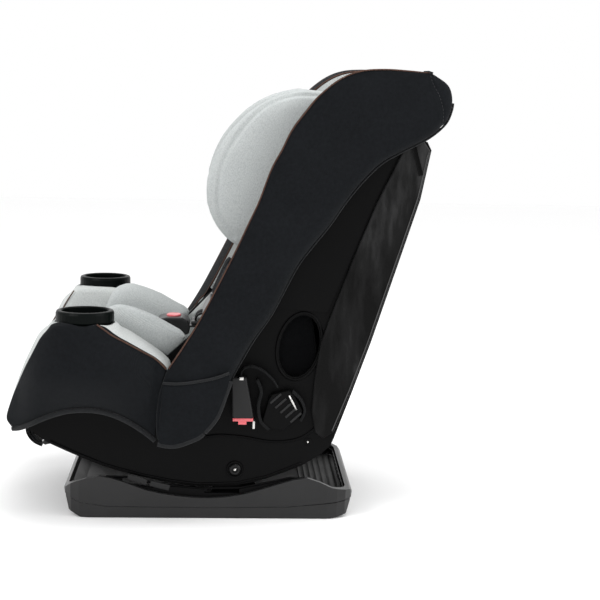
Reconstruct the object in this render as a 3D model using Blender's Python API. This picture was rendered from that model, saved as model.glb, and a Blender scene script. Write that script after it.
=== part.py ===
"""Convertible child car seat: tub base, reclining shell, sliding headrest.

Metres, +Z up. The origin is on the floor under the middle of the base. The child
faces -Y, and +X is the child's left.
"""
from math import cos, pi, radians, sin

import bmesh
import bpy
from mathutils import Matrix, Vector

# Driving dimensions.
GAP = 0.0004                    # clearance between neighbouring pieces
BASE_HALF_WIDTH = 0.165
BASE_FRONT = -0.214
BASE_REAR = 0.215
BASE_WALL = 0.0075
BASE_CORNER = 0.040
SHELL_HALF_WIDTH = 0.148        # outer faces of the shell's side plates
SHELL_WALL = 0.0095
PIVOT_Y = 0.039                 # recline pivot, on an axis along X
PIVOT_Z = 0.070
PIVOT_RADIUS = 0.0060
CUP_X = 0.200
CUP_Y = -0.177
CUP_TOP = 0.313
CUP_RING_RADIUS = 0.0415
CUP_RADIUS = 0.0345
HEADREST_HALF_WIDTH = 0.141
BACK_FOOT = Vector((0.145, 0.294))   # (y, z) on the back panel's rear face
BACK_TILT = radians(22.3)            # back and headrest slide, from the vertical

SHELL_INSIDE = SHELL_HALF_WIDTH - SHELL_WALL

# Colour, roughness and metallic value of each material slot.
SLOTS = {
    "black_plastic": ((0.018, 0.019, 0.021), 0.45, 0.0),
    "base_plastic": ((0.045, 0.046, 0.050), 0.38, 0.0),
    "grey_plastic": ((0.090, 0.092, 0.098), 0.40, 0.0),
    "black_fabric": ((0.014, 0.016, 0.020), 0.95, 0.0),
    "grey_fabric": ((0.500, 0.520, 0.520), 0.95, 0.0),
    "webbing": ((0.030, 0.031, 0.034), 0.80, 0.0),
    "red_plastic": ((0.600, 0.045, 0.060), 0.35, 0.0),
    "steel": ((0.620, 0.620, 0.610), 0.30, 1.0),
}


def clear_scene():
    for item in list(bpy.data.objects):
        bpy.data.objects.remove(item, do_unlink=True)


def own_material(name, slot):
    """A Principled material for one piece, with the slot's finish."""
    colour, roughness, metallic = SLOTS[slot]
    made = bpy.data.materials.new(name + "_" + slot)
    made.use_nodes = True
    shader = made.node_tree.nodes["Principled BSDF"]
    shader.inputs["Base Color"].default_value = (*colour, 1.0)
    shader.inputs["Roughness"].default_value = roughness
    shader.inputs["Metallic"].default_value = metallic
    return made


def object_from(name, form, slot=None):
    """Turns a bmesh into an object with outward faces."""
    bmesh.ops.remove_doubles(form, verts=form.verts, dist=1e-6)
    bmesh.ops.recalc_face_normals(form, faces=form.faces)
    if form.calc_volume(signed=True) < 0.0:
        bmesh.ops.reverse_faces(form, faces=form.faces)
    mesh = bpy.data.meshes.new(name)
    form.to_mesh(mesh)
    form.free()
    made = bpy.data.objects.new(name, mesh)
    bpy.context.scene.collection.objects.link(made)
    if slot:
        made.data.materials.append(own_material(name, slot))
    return made


def bake_modifiers(made):
    """Replaces the object's mesh with what its modifiers make of it."""
    graph = bpy.context.evaluated_depsgraph_get()
    made.data = bpy.data.meshes.new_from_object(made.evaluated_get(graph))
    made.modifiers.clear()


def combine(made, other, operation):
    """Cuts, joins or intersects with another object, which is used up."""
    change = made.modifiers.new("combine", "BOOLEAN")
    change.operation = operation
    change.solver = "EXACT"
    change.object = other
    bake_modifiers(made)
    bpy.data.objects.remove(other, do_unlink=True)
    return made


def soften(made, width, segments=2, angle=35):
    """Rounds the sharp edges."""
    bevel = made.modifiers.new("round", "BEVEL")
    bevel.width = width
    bevel.segments = segments
    bevel.limit_method = "ANGLE"
    bevel.angle_limit = radians(angle)
    bake_modifiers(made)
    return made


def smooth(made, angle=40):
    made.data.shade_smooth()
    made.data.set_sharp_from_angle(angle=radians(angle))
    return made


def set_origin(made, x, y, z):
    """Moves the object's origin to a joint's axis and leaves the shape in place."""
    made.data.transform(Matrix.Translation((-x, -y, -z)))
    made.location = (x, y, z)
    return made


def curve_through(points, steps=3):
    """A smooth open curve (Catmull-Rom) through 2D points."""
    knots = [Vector(p) for p in points]
    knots = [2 * knots[0] - knots[1]] + knots + [2 * knots[-1] - knots[-2]]
    curve = []
    for a, b, c, d in zip(knots, knots[1:], knots[2:], knots[3:]):
        for i in range(steps):
            t = i / steps
            curve.append(0.5 * (2 * b + (c - a) * t + (2 * a - 5 * b + 4 * c - d) * t * t
                                + (3 * b - a - 3 * c + d) * t ** 3))
    curve.append(knots[-2])
    return curve


def resample(curve, count):
    """The same curve with evenly spaced points."""
    lengths = [0.0]
    for a, b in zip(curve, curve[1:]):
        lengths.append(lengths[-1] + (b - a).length)
    result = []
    leg = 0
    for i in range(count):
        want = lengths[-1] * i / (count - 1)
        while leg < len(curve) - 2 and lengths[leg + 1] < want:
            leg += 1
        share = (want - lengths[leg]) / max(lengths[leg + 1] - lengths[leg], 1e-9)
        result.append(curve[leg].lerp(curve[leg + 1], min(share, 1.0)))
    return result


def arc(centre, radius, start, end, steps):
    """Points on an arc; the angles are in degrees."""
    points = []
    for i in range(steps + 1):
        angle = radians(start + (end - start) * i / steps)
        points.append(Vector((centre[0] + radius * cos(angle), centre[1] + radius * sin(angle))))
    return points


def rounded_box_outline(low, high, radius, steps=4):
    (left, bottom), (right, top) = low, high
    outline = arc((right - radius, top - radius), radius, 0, 90, steps)
    outline += arc((left + radius, top - radius), radius, 90, 180, steps)
    outline += arc((left + radius, bottom + radius), radius, 180, 270, steps)
    outline += arc((right - radius, bottom + radius), radius, 270, 360, steps)
    return outline


def prism(name, outline, low, high, slot=None, axis="X"):
    """Extrudes an outline along an axis: (y, z) along X, (x, z) along Y, (x, y) along Z."""
    place = {"X": lambda a, b, c: (c, a, b), "Y": lambda a, b, c: (a, c, b),
             "Z": lambda a, b, c: (a, b, c)}[axis]
    form = bmesh.new()
    face = form.faces.new([form.verts.new(place(a, b, low)) for a, b in outline])
    step = Vector(place(0.0, 0.0, high - low))
    made = bmesh.ops.extrude_face_region(form, geom=[face])
    moved = [v for v in made["geom"] if isinstance(v, bmesh.types.BMVert)]
    bmesh.ops.translate(form, verts=moved, vec=step)
    form.faces.ensure_lookup_table()
    return object_from(name, form, slot)


def side_prism(name, outline, near, far, side, slot=None):
    """A prism on one side of the seat, between two distances from the middle."""
    return prism(name, outline, side * near, side * far, slot)


def band(path, thickness):
    """The outline of a strip of even thickness along a path, on the path's left."""
    inner = []
    for i, point in enumerate(path):
        along = (path[min(i + 1, len(path) - 1)] - path[max(i - 1, 0)]).normalized()
        inner.append(point + thickness * Vector((-along.y, along.x)))
    return list(path) + inner[::-1]


def turned(name, profile, centre, slot=None, axis="Z", segments=32):
    """Spins a closed (radius, height) profile about an axis through the centre."""
    form = bmesh.new()
    rings = []
    for radius, height in profile:
        if radius == 0.0:
            rings.append([form.verts.new((0.0, 0.0, height))] * segments)
            continue
        angles = [2 * pi * i / segments for i in range(segments)]
        rings.append([form.verts.new((radius * cos(a), radius * sin(a), height)) for a in angles])
    for low, high in zip(rings, rings[1:] + rings[:1]):
        for i in range(segments):
            j = (i + 1) % segments
            corners = list(dict.fromkeys([low[i], low[j], high[j], high[i]]))
            if len(corners) > 2:
                form.faces.new(corners)
    turn = Matrix.Rotation(pi / 2, 4, "Y") if axis == "X" else Matrix.Identity(4)
    bmesh.ops.transform(form, matrix=Matrix.Translation(centre) @ turn, verts=form.verts)
    return object_from(name, form, slot)


def cylinder(name, radius, low, high, centre, slot=None, axis="Z", segments=32):
    profile = [(0.0, low), (radius, low), (radius, high), (0.0, high)]
    return turned(name, profile, centre, slot, axis, segments)


def swell(share, power):
    """Height of a rounded section: 1 in the middle, 0 at shares 0 and 1."""
    return (1.0 - abs(2.0 * share - 1.0) ** power) ** (1.0 / power)


def rounded_shares(count):
    """Shares from 0 to 1, closer together near the ends."""
    return [0.5 - 0.5 * cos(pi * i / count) for i in range(count + 1)]


def padded_grid(name, flat, full, columns, rows, slot, power):
    """A cushion between a flat grid and a full one, which meet along their border."""
    form = bmesh.new()
    across = rounded_shares(columns)
    along = rounded_shares(rows)
    under = {}
    over = {}
    for i, s in enumerate(across):
        for j, t in enumerate(along):
            under[i, j] = form.verts.new(flat(s, t))
            border = i in (0, columns) or j in (0, rows)
            if border:
                over[i, j] = under[i, j]
                continue
            height = swell(s, power) * swell(t, power)
            over[i, j] = form.verts.new(Vector(flat(s, t)).lerp(Vector(full(s, t)), height))
    for i in range(columns):
        for j in range(rows):
            corners = [(i, j), (i + 1, j), (i + 1, j + 1), (i, j + 1)]
            pieces = [corners]
            outer = [c for c in corners if c[0] in (0, columns) and c[1] in (0, rows)]
            if outer:
                k = corners.index(outer[0])
                turned_to = corners[k:] + corners[:k]
                pieces = [turned_to[:3], [turned_to[0]] + turned_to[2:]]
            for piece in pieces:
                form.faces.new([over[c] for c in piece])
                form.faces.new([under[c] for c in reversed(piece)])
    return object_from(name, form, slot)


def side_pad(name, side, lower, upper, inner, outer, slot, columns=12, rows=6, power=5):
    """A padded panel on one side, between two (y, z) edges; outer gives its reach."""
    edge_a = resample(lower, 60)
    edge_b = resample(upper, 60)

    def on_edge(edge, s):
        position = s * (len(edge) - 1)
        index = min(int(position), len(edge) - 2)
        return edge[index].lerp(edge[index + 1], position - index)

    def flat(s, t):
        point = on_edge(edge_a, s).lerp(on_edge(edge_b, s), t)
        return (side * inner, point.x, point.y)

    def full(s, t):
        point = on_edge(edge_a, s).lerp(on_edge(edge_b, s), t)
        return (side * outer(point.x, point.y), point.x, point.y)

    return padded_grid(name, flat, full, columns, rows, slot, power)


def cushion(name, under, top, half_width, slot, columns=12, rows=8, power=4):
    """A cushion across the seat between two (y, z) curves."""
    edge_a = resample(under, 60)
    edge_b = resample(top, 60)

    def place(edge, s, t):
        position = s * (len(edge) - 1)
        index = min(int(position), len(edge) - 2)
        point = edge[index].lerp(edge[index + 1], position - index)
        return (half_width * (2 * t - 1), point.x, point.y)

    return padded_grid(name, lambda s, t: place(edge_a, s, t), lambda s, t: place(edge_b, s, t),
                       columns, rows, slot, power)


def ribbon(name, path, thickness, width, slot, start_x=0.0, end_x=0.0):
    """A strap along a (y, z) path, whose middle moves from one X to another."""
    outline = band(path, thickness)
    count = len(path)
    made = prism(name, outline, -width / 2, width / 2, slot)
    for vertex in made.data.vertices:
        flat = Vector((vertex.co.y, vertex.co.z))
        nearest = min(range(len(outline)), key=lambda i: (outline[i] - flat).length)
        step = nearest if nearest < count else 2 * count - 1 - nearest
        vertex.co.x += start_x + (end_x - start_x) * step / (count - 1)
    return made


def on_back(height, forward):
    """The (y, z) point at a height up the back and a distance in front of the panel."""
    up = Vector((sin(BACK_TILT), cos(BACK_TILT)))
    out = Vector((-cos(BACK_TILT), sin(BACK_TILT)))
    return BACK_FOOT + up * height + out * forward


def points(*pairs):
    """(y, z) points given in millimetres."""
    return [Vector((a / 1000.0, b / 1000.0)) for a, b in pairs]


# Side outlines that several pieces share.
BELLY_CURVE = curve_through(points((-234, 107), (-196, 90), (-151, 72), (-100, 58), (-54, 49),
                                   (-14, 44), (42, 46), (86, 56), (139, 77)), 2)
REAR_LINE = points((186, 122), (210, 188), (236, 262), (278, 394), (303, 473), (317, 544))
COLUMN_FRONT = points((173, 294), (203, 376), (240, 469), (274, 540))
COVER_SEAM = points((-60, 229), (-66, 208), (-70, 190), (-74, 121))
WING_FRONT = points((-58, 230), (-44, 254), (-19, 295), (9, 350), (32, 400), (49, 438), (64, 472),
                    (81, 517), (96, 545), (110, 573), (130, 598), (150, 621), (179, 644),
                    (209, 659))
WING_REAR = points((-13, 131), (-2, 143), (15, 167), (23, 190), (31, 212), (47, 242), (63, 270),
                   (88, 308), (122, 377), (144, 405), (169, 437), (189, 467), (214, 501),
                   (241, 527), (269, 544), (306, 563), (329, 584), (338, 601), (340, 619),
                   (332, 639), (314, 654))


# Shoulder strap from the buckle's tongue up over the chest, seen from the side.
HARNESS_PATH = points((-15, 268), (-4, 279), (10, 304), (26, 340), (46, 378), (98, 416))


def base_outline():
    """Side view of the base housing: two end peaks and a dip in the middle."""
    top = curve_through(points((-214, 36), (-207, 44), (-193, 53), (-160, 62), (-123, 53), (-90, 41),
                               (-47, 33), (3, 30), (53, 36), (102, 51), (146, 61), (183, 46),
                               (210, 40), (215, 32)), 2)
    parting = points((213, 27), (119, 18), (3, 16), (-147, 17), (-190, 23), (-212, 31))
    return top + parting


def base_plan(inset, rear_inset=None):
    rear = inset if rear_inset is None else rear_inset
    half = BASE_HALF_WIDTH - inset
    return rounded_box_outline((-half, BASE_FRONT + inset), (half, BASE_REAR - rear),
                               BASE_CORNER - inset)


def base_housing():
    body = prism("base_housing", base_outline(), -0.2, 0.2, "base_plastic")
    plan = prism("plan", base_plan(0.0), -0.1, 0.2, axis="Z")
    combine(body, plan, "INTERSECT")
    hollow = prism("hollow", base_plan(BASE_WALL, 0.011), -0.1, 0.2, axis="Z")
    combine(body, hollow, "DIFFERENCE")
    return smooth(body, 35)


def base_foot():
    outline = points((-187, 0), (180, 0), (205, 5), (212, 25.5), (119, 17), (3, 15.5), (-147, 16),
                     (-190, 22), (-211, 30), (-205, 8))
    foot = prism("base_foot", outline, -0.2, 0.2, "base_plastic")
    combine(foot, prism("plan", base_plan(0.001), -0.1, 0.2, axis="Z"), "INTERSECT")
    return smooth(foot, 35)


def index_rail(side):
    """Curved strip inside the base wall, with two rectangular notches."""
    name = "rail_left" if side > 0 else "rail_right"
    outline = points((-165, 20), (160, 23), (160, 48), (146, 57), (120, 58), (86, 50), (46, 42),
                     (46, 36), (-6, 36), (-6, 41), (-54, 45), (-80, 49), (-80, 43), (-126, 50),
                     (-126, 57), (-150, 58), (-165, 50))
    return side_prism(name, outline, 0.1502, 0.1570, side, "black_plastic")


def pivot_bracket(side):
    """Upright of the base that holds the recline pivot inside the shell's side plate."""
    name = "bracket_left" if side > 0 else "bracket_right"
    head = arc((PIVOT_Y, PIVOT_Z), 0.017, 0, 180, 10)
    outline = points((78, 17.6)) + [Vector((0.070, 0.045))] + head
    outline += [Vector((0.008, 0.045)), Vector((0.0, 0.0162))]
    bracket = side_prism(name, outline, 0.118, 0.134, side, "black_plastic")
    bore = cylinder("bore", PIVOT_RADIUS + GAP, 0.10, 0.15, (0.0, PIVOT_Y, PIVOT_Z), axis="X",
                    segments=24)
    if side < 0:
        bore.data.transform(Matrix.Translation((-0.25, 0.0, 0.0)))
    combine(bracket, bore, "DIFFERENCE")
    return smooth(bracket)


def belt_window():
    """Tilted oval opening where the vehicle belt passes."""
    centre = Vector((0.131, 0.255))
    tilt = radians(-12)
    outline = []
    for i in range(20):
        angle = 2 * pi * i / 20
        u = 0.029 * cos(angle)
        v = 0.047 * sin(angle)
        outline.append(centre + Vector((u * cos(tilt) - v * sin(tilt), u * sin(tilt) + v * cos(tilt))))
    return outline


def shell_side(side):
    """Side plate with the belt window and the pivot hole."""
    name = "shell_side_left" if side > 0 else "shell_side_right"
    outline = BELLY_CURVE + points((166, 94), (180, 107)) + REAR_LINE
    outline += points((311, 556), (290, 563), (256, 560), (236, 520), (196, 430), (180, 386),
                      (120, 354), (30, 328), (-36, 262), (-62, 238), (-110, 264), (-140, 282),
                      (-222, 283), (-250, 236), (-270, 190), (-278, 152), (-262, 126))
    plate = side_prism(name, outline, SHELL_INSIDE, SHELL_HALF_WIDTH, side, "black_plastic")
    window = side_prism("window", belt_window(), 0.12, 0.16, side)
    combine(plate, window, "DIFFERENCE")
    hole = cylinder("hole", PIVOT_RADIUS + GAP, 0.12, 0.16, (0.0, PIVOT_Y, PIVOT_Z), axis="X",
                    segments=24)
    if side < 0:
        hole.data.transform(Matrix.Translation((-0.28, 0.0, 0.0)))
    combine(plate, hole, "DIFFERENCE")
    return smooth(plate, 35)


def column_cap(side):
    """Raised outer face of the back column."""
    name = "column_left" if side > 0 else "column_right"
    outline = points((184, 128), (208, 190), (234, 263), (276, 395), (301, 474), (315, 543),
                     (306, 556), (286, 555)) + COLUMN_FRONT[::-1]
    outline += points((162, 262), (154, 210), (150, 160), (156, 128), (168, 118))
    cap = side_prism(name, outline, SHELL_HALF_WIDTH + GAP, 0.1545, side, "grey_plastic")
    return smooth(soften(cap, 0.002, 2, 50), 45)


def wing_shell(side):
    """Rigid plate that carries the side wing's padding."""
    name = "wing_shell_left" if side > 0 else "wing_shell_right"
    outline = points((-30, 256), (0, 310), (40, 390), (78, 470), (118, 558), (160, 616), (205, 642),
                     (270, 643), (318, 626), (322, 602), (296, 575), (271, 543), (237, 470),
                     (200, 377), (171, 306), (95, 312), (60, 262), (28, 230), (4, 205), (-40, 215))
    return side_prism(name, outline, SHELL_HALF_WIDTH + GAP, 0.1515, side, "black_plastic")


def cross_panel(name, path, thickness, half_width, slot):
    """A curved panel from side to side along a (y, z) path."""
    return smooth(prism(name, band(path, thickness), -half_width, half_width, slot), 35)


def seat_pan():
    path = points((-264, 176), (-200, 172), (-60, 164), (50, 168), (88, 186), (110, 206))
    return cross_panel("seat_pan", path, 0.006, SHELL_INSIDE - GAP, "black_plastic")


def back_panel():
    path = [on_back(0.015, 0.0), on_back(0.288, 0.0)]
    return cross_panel("back_panel", path, 0.007, SHELL_INSIDE - GAP, "black_plastic")


def belly_panel():
    path = points((-276, 158), (-262, 128)) + [p + Vector((0.0, 0.004)) for p in BELLY_CURVE]
    path += points((164, 98), (178, 114))
    return cross_panel("belly_panel", path, 0.004, 0.112, "black_plastic")


def rear_cover():
    path = [p + Vector((-0.004, 0.002)) for p in REAR_LINE]
    return cross_panel("rear_cover", path, 0.004, SHELL_INSIDE - GAP, "black_plastic")


def pivot_bolt(side):
    """Shouldered bolt: it turns in the base's bracket and carries the shell."""
    name = "pivot_bolt_left" if side > 0 else "pivot_bolt_right"
    shank = PIVOT_RADIUS
    head = 0.0085
    face = SHELL_HALF_WIDTH + GAP
    profile = [(0.0, 0.114), (shank, 0.114), (shank, face), (head, face), (head, face + 0.003),
               (head - 0.0015, face + 0.0045), (0.0045, face + 0.0045), (0.0038, face + 0.0028),
               (0.0, face + 0.0028)]
    bolt = turned(name, profile, (0.0, PIVOT_Y, PIVOT_Z), "steel", "X", 24)
    if side < 0:
        bolt.data.transform(Matrix.Scale(-1, 4, (1, 0, 0)))
        bolt.data.flip_normals()
    return smooth(set_origin(bolt, 0.0, PIVOT_Y, PIVOT_Z))


def latch_connector(side):
    """Stowed lower-anchor connector: a tapered box with a hook mouth and a button pocket."""
    name = "latch_connector_left" if side > 0 else "latch_connector_right"
    outline = points((32, 210), (54, 211), (65, 152), (60, 147), (38, 147), (34, 152))
    box = side_prism(name, outline, 0.1488, 0.1680, side, "grey_plastic")
    soften(box, 0.002, 2, 50)
    mouth = side_prism("mouth", points((42, 140), (56, 140), (56, 163), (42, 163)),
                       0.1528, 0.1640, side)
    combine(box, mouth, "DIFFERENCE")
    return smooth(box)


def latch_button(side):
    """Release button that pushes up into the connector."""
    name = "latch_button_left" if side > 0 else "latch_button_right"
    outline = points((43, 140.5), (55, 140.5), (55, 157), (43, 157))
    return side_prism(name, outline, 0.1535, 0.1633, side, "red_plastic")


def latch_webbing(side):
    """Webbing that holds the stowed connector, looped over at its top."""
    name = "latch_webbing_left" if side > 0 else "latch_webbing_right"
    path = curve_through(points((46, 212), (48, 221), (58, 227), (76, 222), (92, 208), (100, 196)), 3)
    strap = ribbon(name, path, 0.002, 0.017, "webbing", side * 0.159, side * 0.159)
    return smooth(strap)


def latch_adjuster(side):
    """Ridged webbing adjuster beside the connector."""
    name = "latch_adjuster_left" if side > 0 else "latch_adjuster_right"
    outline = points((87, 178), (92, 186), (116, 192), (124, 187), (137, 162), (134, 154), (110, 134),
                     (99, 133), (80, 138), (78, 146))
    box = side_prism(name, outline, 0.1488, 0.1650, side, "grey_plastic")
    return smooth(soften(box, 0.002, 2, 50))


def tether_strap():
    """Top tether webbing, stowed flat down the back."""
    path = points((325, 538), (311, 474), (286, 395), (262, 318))
    return ribbon("tether_strap", path[::-1], -0.002, 0.038, "webbing")


def tether_hook():
    """Closed snap hook at the end of the tether strap."""
    outline = points((254, 316), (262, 315), (266, 306), (262, 286), (252, 268), (243, 264),
                     (239, 270), (245, 288))
    hook = prism("tether_hook", outline, -0.011, 0.011, "steel")
    return smooth(soften(hook, 0.002, 2, 50))


def cup_socket(side):
    """Sleeve in the seat's side that the cup holder drops into, tied to the side plate."""
    name = "cup_socket_left" if side > 0 else "cup_socket_right"
    inner = CUP_RADIUS + 0.0008
    outer = inner + 0.0022
    profile = [(0.0, 0.222), (outer, 0.222), (outer, 0.2952), (inner, 0.2952), (inner, 0.2255),
               (0.0, 0.2255)]
    sleeve = turned(name, profile, (side * CUP_X, CUP_Y, 0.0), "black_plastic")
    arm = prism("arm", rounded_box_outline((CUP_Y - 0.018, 0.228), (CUP_Y + 0.018, 0.262), 0.004, 2),
                side * (SHELL_HALF_WIDTH + GAP), side * (CUP_X - inner - 0.0005))
    return smooth(combine(sleeve, arm, "UNION"))


def cup_holder(side):
    """Lift-out cup with a rolled rim."""
    name = "cup_holder_left" if side > 0 else "cup_holder_right"
    rim = CUP_RING_RADIUS
    inside = 0.0335
    low = 0.2263
    profile = [(0.0, low), (0.0315, low), (CUP_RADIUS, low + 0.006), (CUP_RADIUS, 0.2960),
               (rim - 0.0015, 0.2960), (rim, 0.2985), (rim, CUP_TOP - 0.004),
               (rim - 0.0014, CUP_TOP - 0.0008), (rim - 0.0036, CUP_TOP), (inside + 0.0015, CUP_TOP),
               (inside, CUP_TOP - 0.0016), (inside - 0.0005, 0.2960), (0.0285, low + 0.0035),
               (0.0, low + 0.0035)]
    cup = turned(name, profile, (side * CUP_X, CUP_Y, 0.0), "black_plastic", segments=40)
    return smooth(set_origin(cup, side * CUP_X, CUP_Y, 0.296), 50)


def seat_side_cover(side):
    """Fabric cover of the seat's side, scalloped below and swollen round the cup holder."""
    name = "seat_side_cover_left" if side > 0 else "seat_side_cover_right"
    lower = curve_through(points((-284, 133), (-274, 136), (-260, 144), (-241, 154), (-222, 162),
                                 (-203, 167), (-184, 169), (-165, 170), (-146, 165), (-127, 157),
                                 (-108, 146), (-89, 132), (-74.6, 122)), 2)
    upper = curve_through(points((-294, 145), (-290, 165), (-275, 199), (-254, 240), (-236, 276),
                                 (-224, 295)), 2)
    upper += points((-180, 295), (-156, 295), (-137, 282), (-118, 272), (-99, 259), (-80, 246),
                    (-60.6, 228))
    upper += [p - Vector((0.0006, 0.0)) for p in COVER_SEAM[1:3]]

    def reach(y, z):
        near_cup = max(0.0, 1.0 - ((y - CUP_Y) / 0.085) ** 2)
        rise = min(max((z - 0.175) / 0.060, 0.0), 1.0)
        return 0.205 + 0.0370 * near_cup ** 0.5 * rise

    cover = side_pad(name, side, lower, upper, SHELL_HALF_WIDTH + GAP, reach, "black_fabric", 20, 12,
                     8)
    socket = cylinder("socket", CUP_RADIUS + 0.0035, 0.2216, 0.32, (side * CUP_X, CUP_Y, 0.0))
    combine(cover, socket, "DIFFERENCE")
    arm = prism("arm", rounded_box_outline((CUP_Y - 0.0185, 0.2275), (CUP_Y + 0.0185, 0.32), 0.002, 1),
                side * 0.145, side * (CUP_X - CUP_RADIUS))
    combine(cover, arm, "DIFFERENCE")
    return smooth(cover, 60)


def wing_cover(side):
    """Padded cover of the tall side wing."""
    name = "wing_cover_left" if side > 0 else "wing_cover_right"
    front = [p + Vector((0.0006, 0.0)) for p in COVER_SEAM[::-1]] + WING_FRONT[1:]

    def reach(y, z):
        return 0.210 - 0.020 * min(max((z - 0.20) / 0.42, 0.0), 1.0)

    rear = curve_through(WING_REAR, 1)
    return smooth(side_pad(name, side, front, rear, 0.1549, reach, "black_fabric", 18, 6, 5), 60)


def seat_cushion():
    under = points((-287, 152), (-275, 184), (-262, 189), (-200, 185), (-60, 178), (40, 182),
                   (64, 191))
    top = points((-290, 156), (-280, 192), (-264, 222), (-240, 238), (-200, 234), (-120, 222),
                 (-40, 210), (30, 208), (64, 212))
    return smooth(cushion("seat_cushion", curve_through(under, 3), curve_through(top, 3), 0.135,
                          "grey_fabric"), 60)


def back_cushion():
    under = [on_back(h, 0.0078) for h in (-0.075, 0.02, 0.106)]
    top = [on_back(h, 0.045) for h in (-0.075, 0.02, 0.106)]
    return smooth(cushion("back_cushion", under, top, 0.130, "grey_fabric", 8, 8), 60)


def thigh_bolster(side):
    """Padded insert along the seat's inner side."""
    name = "thigh_bolster_left" if side > 0 else "thigh_bolster_right"
    lower = points((-176, 240), (-150, 236), (-110, 230), (-62, 222))
    upper = curve_through(points((-176, 262), (-162, 298), (-146, 311), (-125, 312), (-86, 299),
                                 (-59, 284), (-32, 267), (-44, 241)), 2)
    return smooth(side_pad(name, side, lower, upper, 0.1375, lambda y, z: 0.094, "grey_fabric", 8, 6,
                           3), 60)


def crotch_strap():
    path = curve_through(points((-58, 215), (-52, 226), (-46, 238), (-42, 248)), 3)
    return ribbon("crotch_strap", path, 0.0016, 0.038, "webbing")


def buckle():
    """Buckle housing with its button pocket on the upper face."""
    outline = points((-82, 270), (-79, 274.5), (-68, 277), (-44, 277), (-35, 272), (-31, 263),
                     (-33, 252), (-40, 249.6), (-58, 256), (-76, 264.5))
    body = prism("buckle", outline, -0.026, 0.026, "black_plastic")
    soften(body, 0.0025, 2, 50)
    pocket = prism("pocket", rounded_box_outline((-0.0135, -0.0685), (0.0135, -0.0455), 0.010, 3),
                   0.2685, 0.29, axis="Z")
    combine(body, pocket, "DIFFERENCE")
    slot = prism("slot", rounded_box_outline((-0.0235, 0.2600), (0.0235, 0.2655), 0.001, 1),
                 -0.045, -0.02, axis="Y")
    combine(body, slot, "DIFFERENCE")
    return smooth(body)


def buckle_button():
    outline = rounded_box_outline((-0.0130, -0.0680), (0.0130, -0.0460), 0.0096, 3)
    button = prism("buckle_button", outline, 0.2720, 0.2795, "red_plastic", "Z")
    soften(button, 0.0012, 1, 60)
    return smooth(set_origin(button, 0.0, -0.057, 0.2720))


def tongue(side):
    """Metal tongue latched in the buckle's rear mouth."""
    name = "tongue_left" if side > 0 else "tongue_right"
    outline = rounded_box_outline((0.0015, -0.043), (0.0225, -0.018), 0.003, 3)
    outline = [Vector((side * p.x, p.y)) for p in outline]
    return smooth(prism(name, outline, 0.2618, 0.2646, "steel", "Z"))


def harness_strap(side):
    """Shoulder strap from the buckle tongue to the back cushion."""
    name = "harness_strap_left" if side > 0 else "harness_strap_right"
    path = HARNESS_PATH + [on_back(0.102, 0.0475)]
    strap = ribbon(name, curve_through(path, 3), 0.0016, 0.036, "webbing", side * 0.024,
                   side * 0.056)
    return smooth(strap)


def shoulder_pad(side):
    """Padded sleeve on the upper part of the strap."""
    name = "shoulder_pad_left" if side > 0 else "shoulder_pad_right"
    middle = resample(curve_through(HARNESS_PATH[2:5], 4), 8)
    path = [p + Vector((-0.0034, 0.0018)) for p in middle]
    pad = ribbon(name, path, 0.011, 0.046, "black_fabric", side * 0.0370, side * 0.0490)
    return smooth(soften(pad, 0.0022, 1, 50), 60)


def chest_clip():
    """Clip that holds the two shoulder straps together."""
    along = (HARNESS_PATH[2] - HARNESS_PATH[1]).normalized()
    over = Vector((-along.y, along.x))
    corner = HARNESS_PATH[1] + along * 0.001 + over * 0.0036
    outline = [corner, corner + along * 0.024, corner + along * 0.024 + over * 0.008,
               corner + over * 0.008]
    clip = prism("chest_clip", outline, -0.050, 0.050, "black_plastic")
    return smooth(soften(clip, 0.0025, 2, 50))


def adjuster_housing():
    """Harness adjuster on the seat's front edge, with a pocket for its button."""
    box = prism("adjuster_housing", rounded_box_outline((-0.030, 0.118), (0.030, 0.144), 0.005, 3),
                -0.2900, -0.2786, "black_plastic", "Y")
    pocket = prism("pocket", rounded_box_outline((-0.0115, 0.1242), (0.0115, 0.1362), 0.003, 2),
                   -0.30, -0.2815, axis="Y")
    return smooth(combine(box, pocket, "DIFFERENCE"))


def adjuster_button():
    outline = rounded_box_outline((-0.0110, 0.1247), (0.0110, 0.1357), 0.0025, 2)
    button = prism("adjuster_button", outline, -0.2932, -0.2855, "red_plastic", "Y")
    return smooth(set_origin(button, 0.0, -0.2855, 0.1302))


def adjuster_strap():
    """Tail of the harness adjusting strap, hanging in front of the base."""
    path = curve_through(points((-283, 117), (-284, 103), (-282, 90), (-272, 78), (-258, 71)), 2)
    return smooth(ribbon("adjuster_strap", path, 0.002, 0.030, "webbing"))


def recline_lever():
    """Pull lever under the front edge, hinged along X."""
    outline = points((-208, 92), (-214, 97), (-222, 97), (-250, 89), (-256, 84), (-251, 80.5),
                     (-222, 87), (-212, 87))
    lever = prism("recline_lever", outline, -0.045, 0.045, "grey_plastic")
    soften(lever, 0.0015, 1, 50)
    return smooth(set_origin(lever, 0.0, -0.214, 0.092))


def headrest_frame():
    """Plate that slides up the back panel and carries the headrest."""
    outline = [(-0.090, 0.140), (0.090, 0.140), (0.122, 0.175), (0.122, 0.290), (0.095, 0.325),
               (-0.095, 0.325), (-0.122, 0.290), (-0.122, 0.175)]
    form = bmesh.new()
    near = []
    far = []
    for x, height in outline:
        low = on_back(height, 0.0078)
        high = on_back(height, 0.0160)
        near.append(form.verts.new((x, low.x, low.y)))
        far.append(form.verts.new((x, high.x, high.y)))
    form.faces.new(near)
    form.faces.new(far[::-1])
    for i in range(len(near)):
        j = (i + 1) % len(near)
        form.faces.new([near[j], near[i], far[i], far[j]])
    return smooth(object_from("headrest_frame", form, "black_plastic"))


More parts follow.
